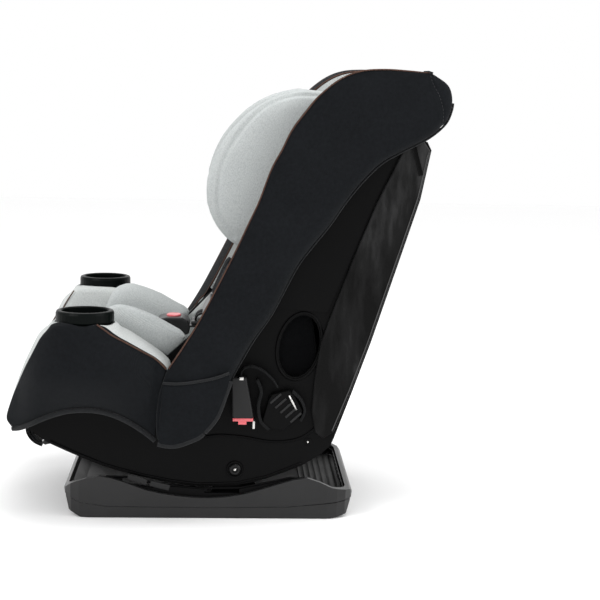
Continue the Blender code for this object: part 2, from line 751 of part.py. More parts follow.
def headrest_pad():
    heights = (0.132, 0.19, 0.25, 0.30, 0.346)
    under = [on_back(h, 0.0165) for h in heights]
    top = [on_back(h, 0.058) for h in heights]
    return smooth(cushion("headrest_pad", under, top, 0.102, "grey_fabric", 8, 8), 60)


def headrest_wing(side):
    """Deep padded side of the headrest."""
    name = "headrest_wing_left" if side > 0 else "headrest_wing_right"
    front = curve_through(points((38, 394), (22, 403), (4, 424), (-9, 450), (-13, 474), (-12, 495),
                                 (-5, 523), (12, 557), (38, 588), (66, 611), (96, 625), (132, 633)), 2)
    rear = [on_back(h, 0.0185) for h in (0.140, 0.20, 0.27, 0.343)]
    return smooth(side_pad(name, side, rear, front, 0.1045, lambda y, z: HEADREST_HALF_WIDTH,
                           "grey_fabric", 12, 8, 5), 60)


def headrest_handle():
    """Squeeze handle at the top of the headrest frame."""
    outline = [on_back(0.3262, 0.0080), on_back(0.3262, 0.0155), on_back(0.3400, 0.0155),
               on_back(0.3440, 0.0118), on_back(0.3400, 0.0080)]
    handle = prism("headrest_handle", outline, -0.036, 0.036, "grey_plastic")
    soften(handle, 0.0015, 1, 50)
    base = on_back(0.3262, 0.0118)
    return smooth(set_origin(handle, 0.0, base.x, base.y))


def build():
    clear_scene()
    base_foot()
    base_housing()
    for make in (index_rail, pivot_bracket, shell_side, column_cap, wing_shell, pivot_bolt,
                 latch_connector, latch_button, latch_webbing, latch_adjuster, cup_socket,
                 cup_holder, seat_side_cover, wing_cover, thigh_bolster, tongue, harness_strap,
                 shoulder_pad, headrest_wing):
        make(1)
        make(-1)
    for make in (seat_pan, back_panel, belly_panel, rear_cover, tether_strap, tether_hook,
                 seat_cushion, back_cushion, crotch_strap, buckle, buckle_button, chest_clip,
                 adjuster_housing, adjuster_button, adjuster_strap, recline_lever, headrest_frame,
                 headrest_pad, headrest_handle):
        make()


build()
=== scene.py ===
"""Looks of the convertible car seat: sewn covers, pads, webbing, details, light and camera.

Metres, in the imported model's frame: +Z up, the child faces -Y, +X is the child's left.
Side outlines are (y, z) points written in millimetres with mm().
"""
from math import cos, pi, radians, sin

import bmesh
import bpy
from mathutils import Matrix, Vector, noise


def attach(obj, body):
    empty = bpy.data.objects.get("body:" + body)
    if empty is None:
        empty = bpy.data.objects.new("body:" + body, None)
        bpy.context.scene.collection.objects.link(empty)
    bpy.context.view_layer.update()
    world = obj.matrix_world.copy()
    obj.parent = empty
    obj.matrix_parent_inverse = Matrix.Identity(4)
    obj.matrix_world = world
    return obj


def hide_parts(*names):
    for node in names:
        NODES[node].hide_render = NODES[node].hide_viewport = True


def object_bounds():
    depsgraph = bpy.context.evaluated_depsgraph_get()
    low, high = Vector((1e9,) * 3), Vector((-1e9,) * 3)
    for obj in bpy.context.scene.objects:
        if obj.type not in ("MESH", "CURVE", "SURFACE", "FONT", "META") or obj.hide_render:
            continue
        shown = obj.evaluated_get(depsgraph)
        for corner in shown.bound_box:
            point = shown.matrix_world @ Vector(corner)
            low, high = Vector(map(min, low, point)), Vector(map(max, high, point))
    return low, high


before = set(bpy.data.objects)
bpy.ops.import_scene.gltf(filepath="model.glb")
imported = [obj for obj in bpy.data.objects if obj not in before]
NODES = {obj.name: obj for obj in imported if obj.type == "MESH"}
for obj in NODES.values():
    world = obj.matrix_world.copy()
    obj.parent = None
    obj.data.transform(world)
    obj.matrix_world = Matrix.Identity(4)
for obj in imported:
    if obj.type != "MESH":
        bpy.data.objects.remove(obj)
cad_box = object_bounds()


# ---------------------------------------------------------------- curves

def mm(*pairs):
    """(y, z) points given in millimetres."""
    return [Vector((a / 1000.0, b / 1000.0)) for a, b in pairs]


def point(x, place):
    """A 3D point from its x and its (y, z) place."""
    return Vector((x, place.x, place.y))


def at(x, places, y=0.0, z=0.0):
    """3D points at one x from (y, z) places, moved along y and z."""
    return [Vector((x, p.x + y, p.y + z)) for p in places]


def spline(points, steps=6):
    """A smooth open curve (Catmull-Rom) through points."""
    knots = [Vector(p) for p in points]
    knots = [2 * knots[0] - knots[1]] + knots + [2 * knots[-1] - knots[-2]]
    curve = []
    for a, b, c, d in zip(knots, knots[1:], knots[2:], knots[3:]):
        for i in range(steps):
            t = i / steps
            curve.append(0.5 * (2 * b + (c - a) * t + (2 * a - 5 * b + 4 * c - d) * t * t
                                + (3 * b - a - 3 * c + d) * t ** 3))
    curve.append(knots[-2])
    return curve


def evenly(curve, count):
    """The same curve with evenly spaced points."""
    lengths = [0.0]
    for a, b in zip(curve, curve[1:]):
        lengths.append(lengths[-1] + (b - a).length)
    result = []
    leg = 0
    for i in range(count):
        want = lengths[-1] * i / (count - 1)
        while leg < len(curve) - 2 and lengths[leg + 1] < want:
            leg += 1
        share = (want - lengths[leg]) / max(lengths[leg + 1] - lengths[leg], 1e-9)
        result.append(curve[leg].lerp(curve[leg + 1], min(share, 1.0)))
    return result


def sweep(count, *pairs):
    """Evenly spaced points on a smooth curve through millimetre pairs."""
    return evenly(spline(mm(*pairs)), count)


def along(curve, share):
    """The point at a share of an evenly spaced curve."""
    position = min(max(share, 0.0), 1.0) * (len(curve) - 1)
    index = min(int(position), len(curve) - 2)
    return curve[index].lerp(curve[index + 1], position - index)


def ramp(value, low, high):
    """0 below low, 1 above high, and smooth between."""
    t = min(max((value - low) / (high - low), 0.0), 1.0)
    return t * t * (3.0 - 2.0 * t)


def crown(share, power, root=None):
    """1 in the middle of a share from 0 to 1, and 0 at both ends."""
    return max(1.0 - abs(2 * share - 1) ** power, 0.0) ** (root or 1 / power)


def eased(i, count):
    """A share from 0 to 1 whose steps close up at both ends."""
    return 0.5 - 0.5 * cos(pi * i / count)


def distance_to(curve, place):
    """Distance from a place to a polyline of the same dimension."""
    best = 1e9
    for a, b in zip(curve, curve[1:]):
        edge = b - a
        t = min(max((place - a).dot(edge) / max(edge.length_squared, 1e-12), 0.0), 1.0)
        best = min(best, (place - a - edge * t).length)
    return best


PIVOT = (0.039, 0.070)
BACK_FOOT = Vector((0.145, 0.294))
BACK_TILT = radians(22.3)


# ---------------------------------------------------------------- materials

def new_material(name, colour, roughness, metallic=0.0, sheen=0.0, coat=0.0, gloss=0.5):
    made = bpy.data.materials.new(name)
    made.use_nodes = True
    shader = made.node_tree.nodes["Principled BSDF"]
    looks = {"Base Color": (*colour, 1.0), "Roughness": roughness, "Metallic": metallic,
             "Specular IOR Level": gloss, "Sheen Weight": sheen, "Sheen Roughness": 0.45,
             "Coat Weight": coat, "Coat Roughness": 0.25}
    for name, value in looks.items():
        shader.inputs[name].default_value = value
    return made


def add_node(made, kind, **values):
    """A node with its inputs set by name or number; a socket as a value is linked instead.

    A name that begins with set_ is one of the node's own settings, and those come first.
    """
    tree = made.node_tree
    node = tree.nodes.new(kind)
    for name, value in values.items():
        if name.startswith("set_"):
            setattr(node, name[4:], value)
            continue
        key = int(name[2:]) if name.startswith("in") and name[2:].isdigit() else name.replace("_", " ")
        if isinstance(value, bpy.types.NodeSocket):
            tree.links.new(value, node.inputs[key])
        else:
            node.inputs[key].default_value = value
    return node


def object_coords(made):
    return add_node(made, "ShaderNodeTexCoord").outputs["Object"]


def math_node(made, operation, a, b=0.0):
    return add_node(made, "ShaderNodeMath", set_operation=operation, in0=a, in1=b).outputs[0]


def weighted(made, a, by_a, b, by_b):
    """a * by_a + b * by_b."""
    return math_node(made, "ADD", math_node(made, "MULTIPLY", a, by_a),
                     math_node(made, "MULTIPLY", b, by_b))


def wave(made, direction):
    """A sine along a direction, whose length sets the pitch."""
    phase = add_node(made, "ShaderNodeVectorMath", set_operation="DOT_PRODUCT",
                     in0=object_coords(made), in1=direction).outputs["Value"]
    return math_node(made, "SINE", phase)


def spread_over(made, value, low, high):
    """Maps 0 to 1 onto low to high."""
    return add_node(made, "ShaderNodeMapRange", Value=value, in3=low, in4=high).outputs[0]


def noise_node(made, scale, detail=3.0, stretch=None, roughness=0.55):
    coords = object_coords(made)
    if stretch:
        coords = add_node(made, "ShaderNodeMapping", Vector=coords, Scale=stretch).outputs[0]
    return add_node(made, "ShaderNodeTexNoise", Vector=coords, Scale=scale, Detail=detail,
                    Roughness=roughness).outputs["Fac"]


def tones(made, factor, *stops):
    """Maps a factor to colours; each stop is (place, colour)."""
    node = add_node(made, "ShaderNodeValToRGB", Fac=factor)
    while len(node.color_ramp.elements) < len(stops):
        node.color_ramp.elements.new(0.5)
    for element, (place, colour) in zip(node.color_ramp.elements, stops):
        element.position = place
        element.color = (*colour, 1.0)
    return node.outputs[0]


def set_input(made, name, socket):
    made.node_tree.links.new(socket, made.node_tree.nodes["Principled BSDF"].inputs[name])


def set_bump(made, height, distance, strength=1.0):
    bump = add_node(made, "ShaderNodeBump", Height=height, Distance=distance, Strength=strength)
    set_input(made, "Normal", bump.outputs[0])


def weave_height(made, pitch):
    """Interlaced bumps of a knit or a weave, on faces of any direction."""
    k = 2 * pi / pitch
    return math_node(made, "MULTIPLY", wave(made, (k, k, 0.0)), wave(made, (0.5 * k, -0.5 * k, k)))


def shade(colour, factor):
    return tuple(min(c * factor, 1.0) for c in colour)


def knit_fabric(name, colour, variation=0.25, pitch=0.0016, sheen=0.03, gloss=0.06, depth=0.00025):
    """Tight knit over foam: fine loops, a soft sheen and slight mottling."""
    made = new_material(name, colour, 0.85, sheen=sheen, gloss=gloss)
    mottle = weighted(made, noise_node(made, 190.0, 4.0), 0.65, noise_node(made, 14.0, 2.0), 0.35)
    set_input(made, "Base Color", tones(made, mottle, (0.32, shade(colour, 1.0 - variation)),
                                        (0.68, shade(colour, 1.0 + variation))))
    set_bump(made, weighted(made, weave_height(made, pitch), 1.0, noise_node(made, 900.0, 2.0), 0.8),
             depth)
    return made


def heather_fabric(name, light, dark):
    """Pale heathered knit: light and dark yarns mixed in short streaks."""
    made = new_material(name, light, 0.95, sheen=0.08, gloss=0.2)
    streaks = noise_node(made, 900.0, 3.0, (1.0, 1.0, 0.55), 0.7)
    yarns = weighted(made, streaks, 0.9, noise_node(made, 10.0, 2.0), 0.1)
    set_input(made, "Base Color", tones(made, yarns, (0.36, dark), (0.52, shade(light, 0.94)),
                                        (0.66, shade(light, 1.05))))
    set_bump(made, weighted(made, weave_height(made, 0.0018), 1.0, noise_node(made, 800.0, 2.0), 0.9),
             0.0003)
    return made


def webbing_fabric(name, colour, rib=0.0022):
    """Woven belt webbing with ribs across its length."""
    made = new_material(name, colour, 0.6, sheen=0.03, gloss=0.09)
    fine = noise_node(made, 700.0, 3.0)
    set_input(made, "Base Color", tones(made, fine, (0.35, shade(colour, 0.7)),
                                        (0.7, shade(colour, 1.4))))
    k = 2 * pi / rib
    set_bump(made, weighted(made, wave(made, (0.0, k, k)), 1.0, weave_height(made, 0.0014), 0.6), 0.00022)
    return made


def moulded_plastic(name, colour, roughness, gloss=0.12, grain=0.00006, coat=0.0, spread=0.08):
    """Textured moulding with small changes of gloss and paler rubbed edges."""
    made = new_material(name, colour, roughness, coat=coat, gloss=gloss)
    rub = noise_node(made, 22.0, 4.0)
    point = add_node(made, "ShaderNodeNewGeometry").outputs["Pointiness"]
    wear = weighted(made, rub, 0.5, math_node(made, "SUBTRACT", point, 0.5), 3.0)
    set_input(made, "Base Color", tones(made, wear, (0.15, shade(colour, 0.85)),
                                        (0.75, shade(colour, 1.45))))
    set_input(made, "Roughness", spread_over(made, rub, roughness - spread, roughness + spread))
    pits = add_node(made, "ShaderNodeTexVoronoi", Vector=object_coords(made), Scale=1300.0)
    set_bump(made, pits.outputs["Distance"], grain)
    return made


def sheen_painted_plastic(name):
    """Dark moulding with painted sheen: soft, uneven lighter streaks and a painted highlight that grows
    stronger towards the top.
    """
    made = new_material(name, (0.010, 0.010, 0.010), 0.38, gloss=0.08)
    coords = object_coords(made)
    slope = add_node(made, "ShaderNodeMapping", Vector=coords, Rotation=(BACK_TILT, 0.0, 0.0),
                     Scale=(1.0, 2.2, 0.55)).outputs[0]
    parts = add_node(made, "ShaderNodeSeparateXYZ", Vector=coords)
    # painted highlight: the colour grows lighter with height up the column
    height = add_node(made, "ShaderNodeMapRange", Value=parts.outputs["Z"], in1=0.30, in2=0.56,
                      in3=-0.04, in4=0.17).outputs[0]
    cloud = add_node(made, "ShaderNodeTexNoise", Vector=slope, Scale=15.0, Detail=5.0,
                     Roughness=0.6).outputs["Fac"]
    # painted sheen: the streak noise plus the height ramp sets the colour; the streaks also vary
    # roughness and bump
    mix = math_node(made, "ADD", cloud, height)
    set_input(made, "Base Color", tones(made, mix, (0.40, (0.0025, 0.0025, 0.0025)),
                                        (0.55, (0.0080, 0.0080, 0.0081)),
                                        (0.78, (0.0340, 0.0340, 0.0345))))
    set_input(made, "Roughness", spread_over(made, cloud, 0.30, 0.48))
    pits = add_node(made, "ShaderNodeTexVoronoi", Vector=coords, Scale=900.0)
    set_bump(made, math_node(made, "ADD", pits.outputs["Distance"], cloud), 0.00012)
    return made


def plated_steel(name):
    made = new_material(name, (0.62, 0.61, 0.59), 0.28, 1.0)
    brush = noise_node(made, 260.0, 3.0, (1.0, 0.08, 0.08))
    set_input(made, "Roughness", spread_over(made, brush, 0.2, 0.42))
    set_bump(made, brush, 0.00003)
    return made


def twisted_cord(name, colour):
    """Piping: cloth wrapped tightly on a cord."""
    made = new_material(name, colour, 0.7, sheen=0.05, gloss=0.15)
    k = 2 * pi / 0.0016
    set_input(made, "Base Color", tones(made, noise_node(made, 420.0, 3.0),
                                        (0.35, shade(colour, 0.7)), (0.7, shade(colour, 1.3))))
    set_bump(made, wave(made, (0.5 * k, k, k)), 0.00018)
    return made


BLACK_CLOTH = knit_fabric("black_cloth", (0.0072, 0.0082, 0.0096), 0.22)
GUSSET_CLOTH = knit_fabric("gusset_cloth", (0.0100, 0.0112, 0.0125), 0.2)
PALE_CLOTH = heather_fabric("pale_cloth", (0.53, 0.555, 0.55), (0.38, 0.405, 0.41))
LINING_CLOTH = heather_fabric("lining_cloth", (0.58, 0.60, 0.59), (0.44, 0.465, 0.46))
# binding tape: a slightly paler tape, made paler still as a painted highlight on the rolled hems and
# folds
BINDING_TAPE_AND_HIGHLIGHT = knit_fabric("binding_tape", (0.0150, 0.0158, 0.0170), 0.15, 0.0012, 0.06, 0.12)
PIPING = twisted_cord("piping_cord", (0.078, 0.038, 0.026))
THREAD_DARK = twisted_cord("thread_dark", (0.028, 0.029, 0.031))
BELT_WEBBING = webbing_fabric("belt_webbing", (0.0075, 0.0078, 0.0083))
SHELL_PLASTIC = moulded_plastic("shell_plastic", (0.0020, 0.0020, 0.0021), 0.42, 0.065)
BASE_PLASTIC = moulded_plastic("base_plastic_satin", (0.0150, 0.0150, 0.0153), 0.33, 0.22, 0.00004)
CUP_PLASTIC = moulded_plastic("cup_plastic", (0.0018, 0.0027, 0.0025), 0.32, 0.055, 0.00003)
TRIM_PLASTIC = moulded_plastic("trim_plastic", (0.0150, 0.0150, 0.0153), 0.36, 0.16, 0.00004)
# lighter grey plastic for the thin column rim: a painted highlight line along the column's rear edge
RIM_HIGHLIGHT_PLASTIC = moulded_plastic("rim_plastic", (0.0450, 0.0450, 0.0450), 0.36, 0.30, 0.00002)
BOLT_COATING = moulded_plastic("bolt_coating", (0.0050, 0.0050, 0.0052), 0.30, 0.20, 0.00002)
BACKING_CLOTH = knit_fabric("backing_cloth", (0.0032, 0.0034, 0.0038), 0.2, gloss=0.03)
BUCKLE_PLASTIC = moulded_plastic("buckle_plastic", (0.0150, 0.0152, 0.0155), 0.33, 0.30, 0.00004)
RED_PLASTIC = moulded_plastic("red_button", (0.58, 0.10, 0.115), 0.34, 0.5, 0.00002, 0.3, 0.04)
STEEL = plated_steel("plated_steel")
# column plastic with painted sheen streaks and a painted highlight towards the top
COLUMN_PLASTIC = sheen_painted_plastic("column_plastic")

SLOT_OF = {
    "black_fabric": (BLACK_CLOTH, GUSSET_CLOTH, BINDING_TAPE_AND_HIGHLIGHT, PIPING, THREAD_DARK, BACKING_CLOTH),
    "grey_fabric": (PALE_CLOTH, LINING_CLOTH),
    "webbing": (BELT_WEBBING,),
    "black_plastic": (SHELL_PLASTIC, BUCKLE_PLASTIC),
    "grey_plastic": (TRIM_PLASTIC, RIM_HIGHLIGHT_PLASTIC),
    "red_plastic": (RED_PLASTIC,),
    "steel": (STEEL,),
}
SLOT_OF = {material.name: slot for slot, group in SLOT_OF.items() for material in group}


# ---------------------------------------------------------------- pieces

def finish_mesh(name, form, materials, body="shell"):
    """Turns a bmesh into a piece that rides on a body."""
    bmesh.ops.recalc_face_normals(form, faces=form.faces)
    if form.calc_volume(signed=True) < 0.0:
        bmesh.ops.reverse_faces(form, faces=form.faces)
    mesh = bpy.data.meshes.new(name)
    form.to_mesh(mesh)
    form.free()
    made = bpy.data.objects.new(name, mesh)
    bpy.context.scene.collection.objects.link(made)
    for material in materials:
        mesh.materials.append(material)
    mesh.shade_smooth()
    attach(made, body)
    return made


def bake(made):
    """Replaces the mesh with what its modifiers make of it."""
    graph = bpy.context.evaluated_depsgraph_get()
    made.data = bpy.data.meshes.new_from_object(made.evaluated_get(graph))
    made.modifiers.clear()


def smoother(made):
    """One level of subdivision surface, applied."""
    surface = made.modifiers.new("surface", "SUBSURF")
    surface.levels = 1
    surface.render_levels = 1
    bake(made)
    made.data.shade_smooth()


def sharp(made, angle):
    made.data.set_sharp_from_angle(angle=radians(angle))
    return made


def join_rings(form, rings, pick=None):
    """Adds the skin over closed rings of points; pick(i, j) chooses each face's material."""
    rows = [[form.verts.new(p) for p in ring] for ring in rings]
    count = len(rows[0])
    for i in range(len(rows) - 1):
        for j in range(count):
            k = (j + 1) % count
            face = form.faces.new([rows[i][j], rows[i][k], rows[i + 1][k], rows[i + 1][j]])
            face.material_index = pick(i, j) if pick else 0
    form.faces.new(rows[0][::-1])
    form.faces.new(rows[-1])


def skin(name, rings, materials, pick=None, body="shell"):
    form = bmesh.new()
    join_rings(form, rings, pick)
    return finish_mesh(name, form, materials, body)


def directions(path):
    """The direction of a path at each of its points."""
    return [(b - a).normalized() for a, b in zip(path[:1] + path[:-1], path[1:] + path[-1:])]


def tube(name, path, radius, material, sides=8, flat=1.0, wide=None, body="shell"):
    """A round or flattened tube along 3D points; wide is the flat section's long direction."""
    rings = []
    normal = None
    for centre, run in zip(path, directions(path)):
        if wide is not None:
            normal = Vector(wide)
        elif normal is None:
            normal = run.orthogonal()
        normal = (normal - run * normal.dot(run)).normalized()
        across = run.cross(normal)
        ring = []
        for j in range(sides):
            angle = 2 * pi * j / sides
            ring.append(centre + radius * (cos(angle) * normal + flat * sin(angle) * across))
        rings.append(ring)
    return skin(name, rings, [material], body=body)


def strap(name, path, width, thickness, replaced=(), material=BELT_WEBBING, across=(1, 0, 0)):
    """Flat webbing along 3D points, with thicker woven edges."""
    edge = [(0.86, 0.75), (0.9, 0.9), (0.97, 0.85), (1, 0.5)]
    upper = [(-u, v) for u, v in edge[::-1]] + edge
    section = [(u * width / 2, v * thickness / 2) for u, v in upper]
    section += [(u, -v) for u, v in section[::-1]]
    rings = []
    for centre, run in zip(path, directions(path)):
        side = Vector(across)
        side = (side - run * side.dot(run)).normalized()
        up = side.cross(run)
        rings.append([centre + side * u + up * v for u, v in section])
    form = bmesh.new()
    join_rings(form, rings)
    made = finish_mesh(name, form, [material])
    if replaced:
        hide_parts(*replaced)
    return sharp(made, 50)


def stitching(name, path, stitch):
    """A row of short raised stitches along 3D points."""
    gap = 0.002
    radius = 0.0004
    length = sum((b - a).length for a, b in zip(path, path[1:]))
    count = int(length / (stitch + gap))
    dense = evenly(path, count * 2 + 1)
    form = bmesh.new()
    for i in range(count):
        start = dense[2 * i]
        end = dense[2 * i].lerp(dense[2 * i + 1], 1.25)
        run = (end - start).normalized()
        first = run.orthogonal().normalized()
        second = run.cross(first)
        rings = []
        for place, size in ((0.0, 0.35), (0.2, 1.0), (0.8, 1.0), (1.0, 0.35)):
            centre = start.lerp(end, place)
            ring = []
            for j in range(5):
                angle = 2 * pi * j / 5
                ring.append(centre + radius * size * (cos(angle) * first + sin(angle) * second))
            rings.append(ring)
        join_rings(form, rings)
    return finish_mesh(name, form, [THREAD_DARK])


def ripple(made, size, scale, seed):
    """Slight unevenness of stretched cloth, along the normals."""
    mesh = made.data
    normals = [v.normal.copy() for v in mesh.vertices]
    for vertex, normal in zip(mesh.vertices, normals):
        place = vertex.co * scale + Vector((seed, 0.0, 0.0))
        vertex.co += normal * size * noise.noise(place)
    mesh.update()


def groove(made, curve, depth, width, flatten):
    """Presses a sewn channel along a curve; flatten maps a vertex to the curve's space."""
    mesh = made.data
    normals = [v.normal.copy() for v in mesh.vertices]
    for vertex, normal in zip(mesh.vertices, normals):
        flat = flatten(vertex.co)
        if flat is None:
            continue
        away = distance_to(curve, flat) / width
        if away < 1.0:
            vertex.co -= normal * depth * (1.0 - away * away) ** 2
    mesh.update()


def inflate(made, cap, voxel=0.005):
    """Swells a closed pad with a short cloth simulation; no point moves further than cap."""
    remesh = made.modifiers.new("remesh", "REMESH")
    remesh.mode = "VOXEL"
    remesh.voxel_size = voxel
    material = made.data.materials[0]
    bake(made)
    if not made.data.materials:
        made.data.materials.append(material)
    start = [v.co.copy() for v in made.data.vertices]
    cloth = made.modifiers.new("cloth", "CLOTH")
    cloth.settings.use_pressure = True
    cloth.settings.uniform_pressure_force = 4.0
    cloth.settings.effector_weights.gravity = 0.0
    cloth.settings.quality = 4
    for step in range(1, 21):
        bpy.context.scene.frame_set(step)
    bake(made)
    bpy.context.scene.frame_set(1)
    for vertex, before in zip(made.data.vertices, start):
        move = vertex.co - before
        if move.length > cap:
            vertex.co = before + move * (cap / move.length)
    form = bmesh.new()
    form.from_mesh(made.data)
    for _ in range(4):
        bmesh.ops.smooth_vert(form, verts=form.verts, factor=0.5, use_axis_x=True, use_axis_y=True,
                              use_axis_z=True)
    form.to_mesh(made.data)
    form.free()
    smoother(made)


def block(name, low, high, radius, material, turn=Matrix.Identity(4), body="shell"):
    """A rounded box between two corners, turned about its middle."""
    low = Vector(low)
    high = Vector(high)
    form = bmesh.new()
    bmesh.ops.create_cube(form, size=1.0)
    for vertex in form.verts:
        vertex.co = Vector([vertex.co[i] * (high[i] - low[i]) for i in range(3)])
    bmesh.ops.bevel(form, geom=form.edges[:], offset=radius, segments=3, profile=0.5, affect="EDGES")
    place = Matrix.Translation((low + high) / 2) @ turn
    bmesh.ops.transform(form, matrix=place, verts=form.verts)
    return sharp(finish_mesh(name, form, [material], body), 50)


def turned(name, profile, centre, axis, material, segments):
    """Spins a closed (radius, height) profile; heights run along the axis."""
    form = bmesh.new()
    rows = []
    for i in range(segments):
        angle = 2 * pi * i / segments
        rows.append([form.verts.new((r * cos(angle), r * sin(angle), h)) for r, h in profile])
    count = len(profile)
    for row, following in zip(rows, rows[1:] + rows[:1]):
        for j in range(count):
            k = (j + 1) % count
            form.faces.new([row[j], row[k], following[k], following[j]])
    bmesh.ops.remove_doubles(form, verts=form.verts, dist=1e-6)
    turn = Vector((0, 0, 1)).rotation_difference(Vector(axis)).to_matrix().to_4x4()
    bmesh.ops.transform(form, matrix=Matrix.Translation(centre) @ turn, verts=form.verts)
    return sharp(finish_mesh(name, form, [material]), 40)


def side_name(stem, side):
    return stem + ("_left" if side > 0 else "_right")


# ---------------------------------------------------------------- shared outlines

CUP = Vector((0.200, -0.177, 0.296))
PLATE_FACE = 0.1484
LINING_FACE = 0.1380

SEAM = mm((-73, 121), (-76, 140), (-75.5, 165), (-72.5, 190), (-67, 209), (-60, 228))
WING_FRONT_EDGE = mm((-43, 254), (-18, 295), (10.5, 350), (35, 400), (52, 437), (67.5, 471), (84, 516),
                     (98.5, 543), (112, 571), (131, 597), (150, 620.5), (179, 644), (208, 656),
                     (242, 659), (276, 657.5), (306, 655))
WING_REAR_EDGE = mm((-14, 130.5), (-2, 143), (14, 166), (23, 189), (31, 212), (47, 242), (63, 270),
                    (88, 308), (122, 374), (144, 405), (169, 437), (189, 467), (214, 499),
                    (241, 526), (269, 543), (306, 562.5), (330, 582.5), (339, 600), (341.5, 618),
                    (335.5, 638), (312, 654))
WING_A = evenly(spline(SEAM + WING_FRONT_EDGE), 240)
WING_B = evenly(spline(WING_REAR_EDGE), 240)
HEM = mm((-285, 133), (-274, 136), (-260, 143), (-241, 153), (-222, 161), (-203, 167),
         (-184, 169.5), (-165, 169), (-146, 165), (-127, 157), (-108, 146), (-89, 132.5), (-77, 122.5))
POCKET_HEM = mm((-73, 121), (-62, 118.5), (-51, 118), (-40, 120), (-27, 125), (-14, 131), (-3, 141),
                (7, 153), (15, 167), (23, 190), (31, 214))
COVER_FRONT = mm((-293, 142), (-293.5, 150), (-291, 160), (-284, 179), (-275, 199), (-261, 226),
                 (-247, 251), (-234, 276), (-221.5, 295))
COVER_TOP = mm((-212, 298.6), (-200, 299), (-177, 299), (-157, 297.5), (-148, 291), (-137, 282.5),
               (-118, 271), (-99, 258.5), (-80, 245), (-68, 235), (-61.5, 228))
HARNESS_PATH = mm((-15, 268), (-4, 279), (10, 304), (26, 340), (46, 378), (98, 416), (140.2, 407))


def on_back(height, forward):
    """The (y, z) point at a height up the back and a distance in front of the panel."""
    up = Vector((sin(BACK_TILT), cos(BACK_TILT)))
    out = Vector((-cos(BACK_TILT), sin(BACK_TILT)))
    return BACK_FOOT + up * height + out * forward


def wing_reach(z):
    """How far out the wing's outer face lies at a height."""
    return 0.2085 - 0.0190 * ramp(z, 0.18, 0.66)


def cover_reach(y, z):
    """Outer face of the seat side, swollen round the cup holder and rounded off at the front."""
    near_cup = max(0.0, 1.0 - abs((y - CUP.y) / 0.098) ** 2.6)
    rise = ramp(z, 0.145, 0.232)
    low = 0.010 * ramp(0.19 - z, 0.0, 0.07)
    front = 0.034 * ramp(-y, 0.238, 0.300) ** 1.4
    return 0.2035 - low - front + 0.0420 * near_cup * rise


def on_wing(side, places, lift, y=0.0, z=0.0):
    """3D points lifted off the wing's outer face and moved along y and z."""
    return [Vector((side * (wing_reach(p.y) + lift), p.x + y, p.y + z)) for p in places]


def on_cover(side, places, lift, z):
    """3D points lifted off the seat side's outer face and moved up."""
    return [Vector((side * (cover_reach(p.x, p.y) + lift), p.x, p.y + z)) for p in places]


def front_of_plate(z):
    """Front edge of the shell's side plate, where the wing's lining must stop."""
    steps = mm((-62, 238), (-36, 262), (30, 328), (120, 354), (180, 386), (196, 430), (236, 520),
               (256, 560), (300, 575), (310, 700))
    for a, b in zip(steps, steps[1:]):
        if a.y <= z <= b.y:
            return a.x + (b.x - a.x) * (z - a.y) / (b.y - a.y)
    return steps[0].x if z < steps[0].y else steps[-1].x


# ---------------------------------------------------------------- wings

def wing_ring(side, share):
    """Cross-section of a wing cover, and which stretch of it is which cloth."""
    a = along(WING_A, share)
    b = along(WING_B, share)
    width = max((b - a).length, 1e-4)
    step = (b - a) / width
    roll = min(0.017, width * 0.45)
    ring = []

    def add(distance, x, push=0.0):
        place = a + step * distance
        ring.append(Vector((side * x, place.x, place.y + push)))

    outer = 14
    for i in range(outer + 1):
        t = i / outer
        distance = 0.0015 + (width - roll - 0.0015) * t
        place = a + step * distance
        dome = 0.0035 * (1.0 - t) ** 6 + 0.004 * t ** 5
        add(distance, wing_reach(place.y) - dome)
    for i in range(1, 7):
        angle = pi / 2 * i / 6
        base = wing_reach(b.y) - 0.004
        add(width - roll + roll * sin(angle), base - (base - 0.1700) * 0.55 * (1 - cos(angle)))
    add(width, 0.1640)
    add(width - 0.001, 0.1575)
    add(width - min(0.005, width * 0.3), 0.1545)
    inside = front_of_plate(a.y) - a.x
    thin = 0.1495 if inside < 0.020 else 0.1442
    back = min(0.0035 + 0.0045 * (1.0 - ramp(a.y, 0.46, 0.62)), max(inside - 0.006, 0.0035), width * 0.4)
    lip = back + min(0.006, width * 0.2)
    reach_in = min(max(inside - 0.004, lip + 0.002), width * 0.8) if thin < 0.149 else lip + 0.002
    add(lip + 0.003, 0.1540)
    add(lip, 0.1535 if thin > 0.149 else 0.1478)
    add(reach_in, max(0.1478, thin + 0.002))
    add(reach_in, thin + 0.0002)
    add(lip + 0.002, thin)
    add(back + 0.0030, thin + 0.0006)
    add(back, thin + 0.0030)
    for t in (0.25, 0.5, 0.75):
        bulge = -0.0008 * (1.0 - (2 * t - 1) ** 2)
        add(back * (1.0 - t) + bulge, thin + 0.0035 + (wing_reach(a.y) - 0.0085 - thin) * t)
    add(0.0, wing_reach(a.y) - 0.0050)
    return ring


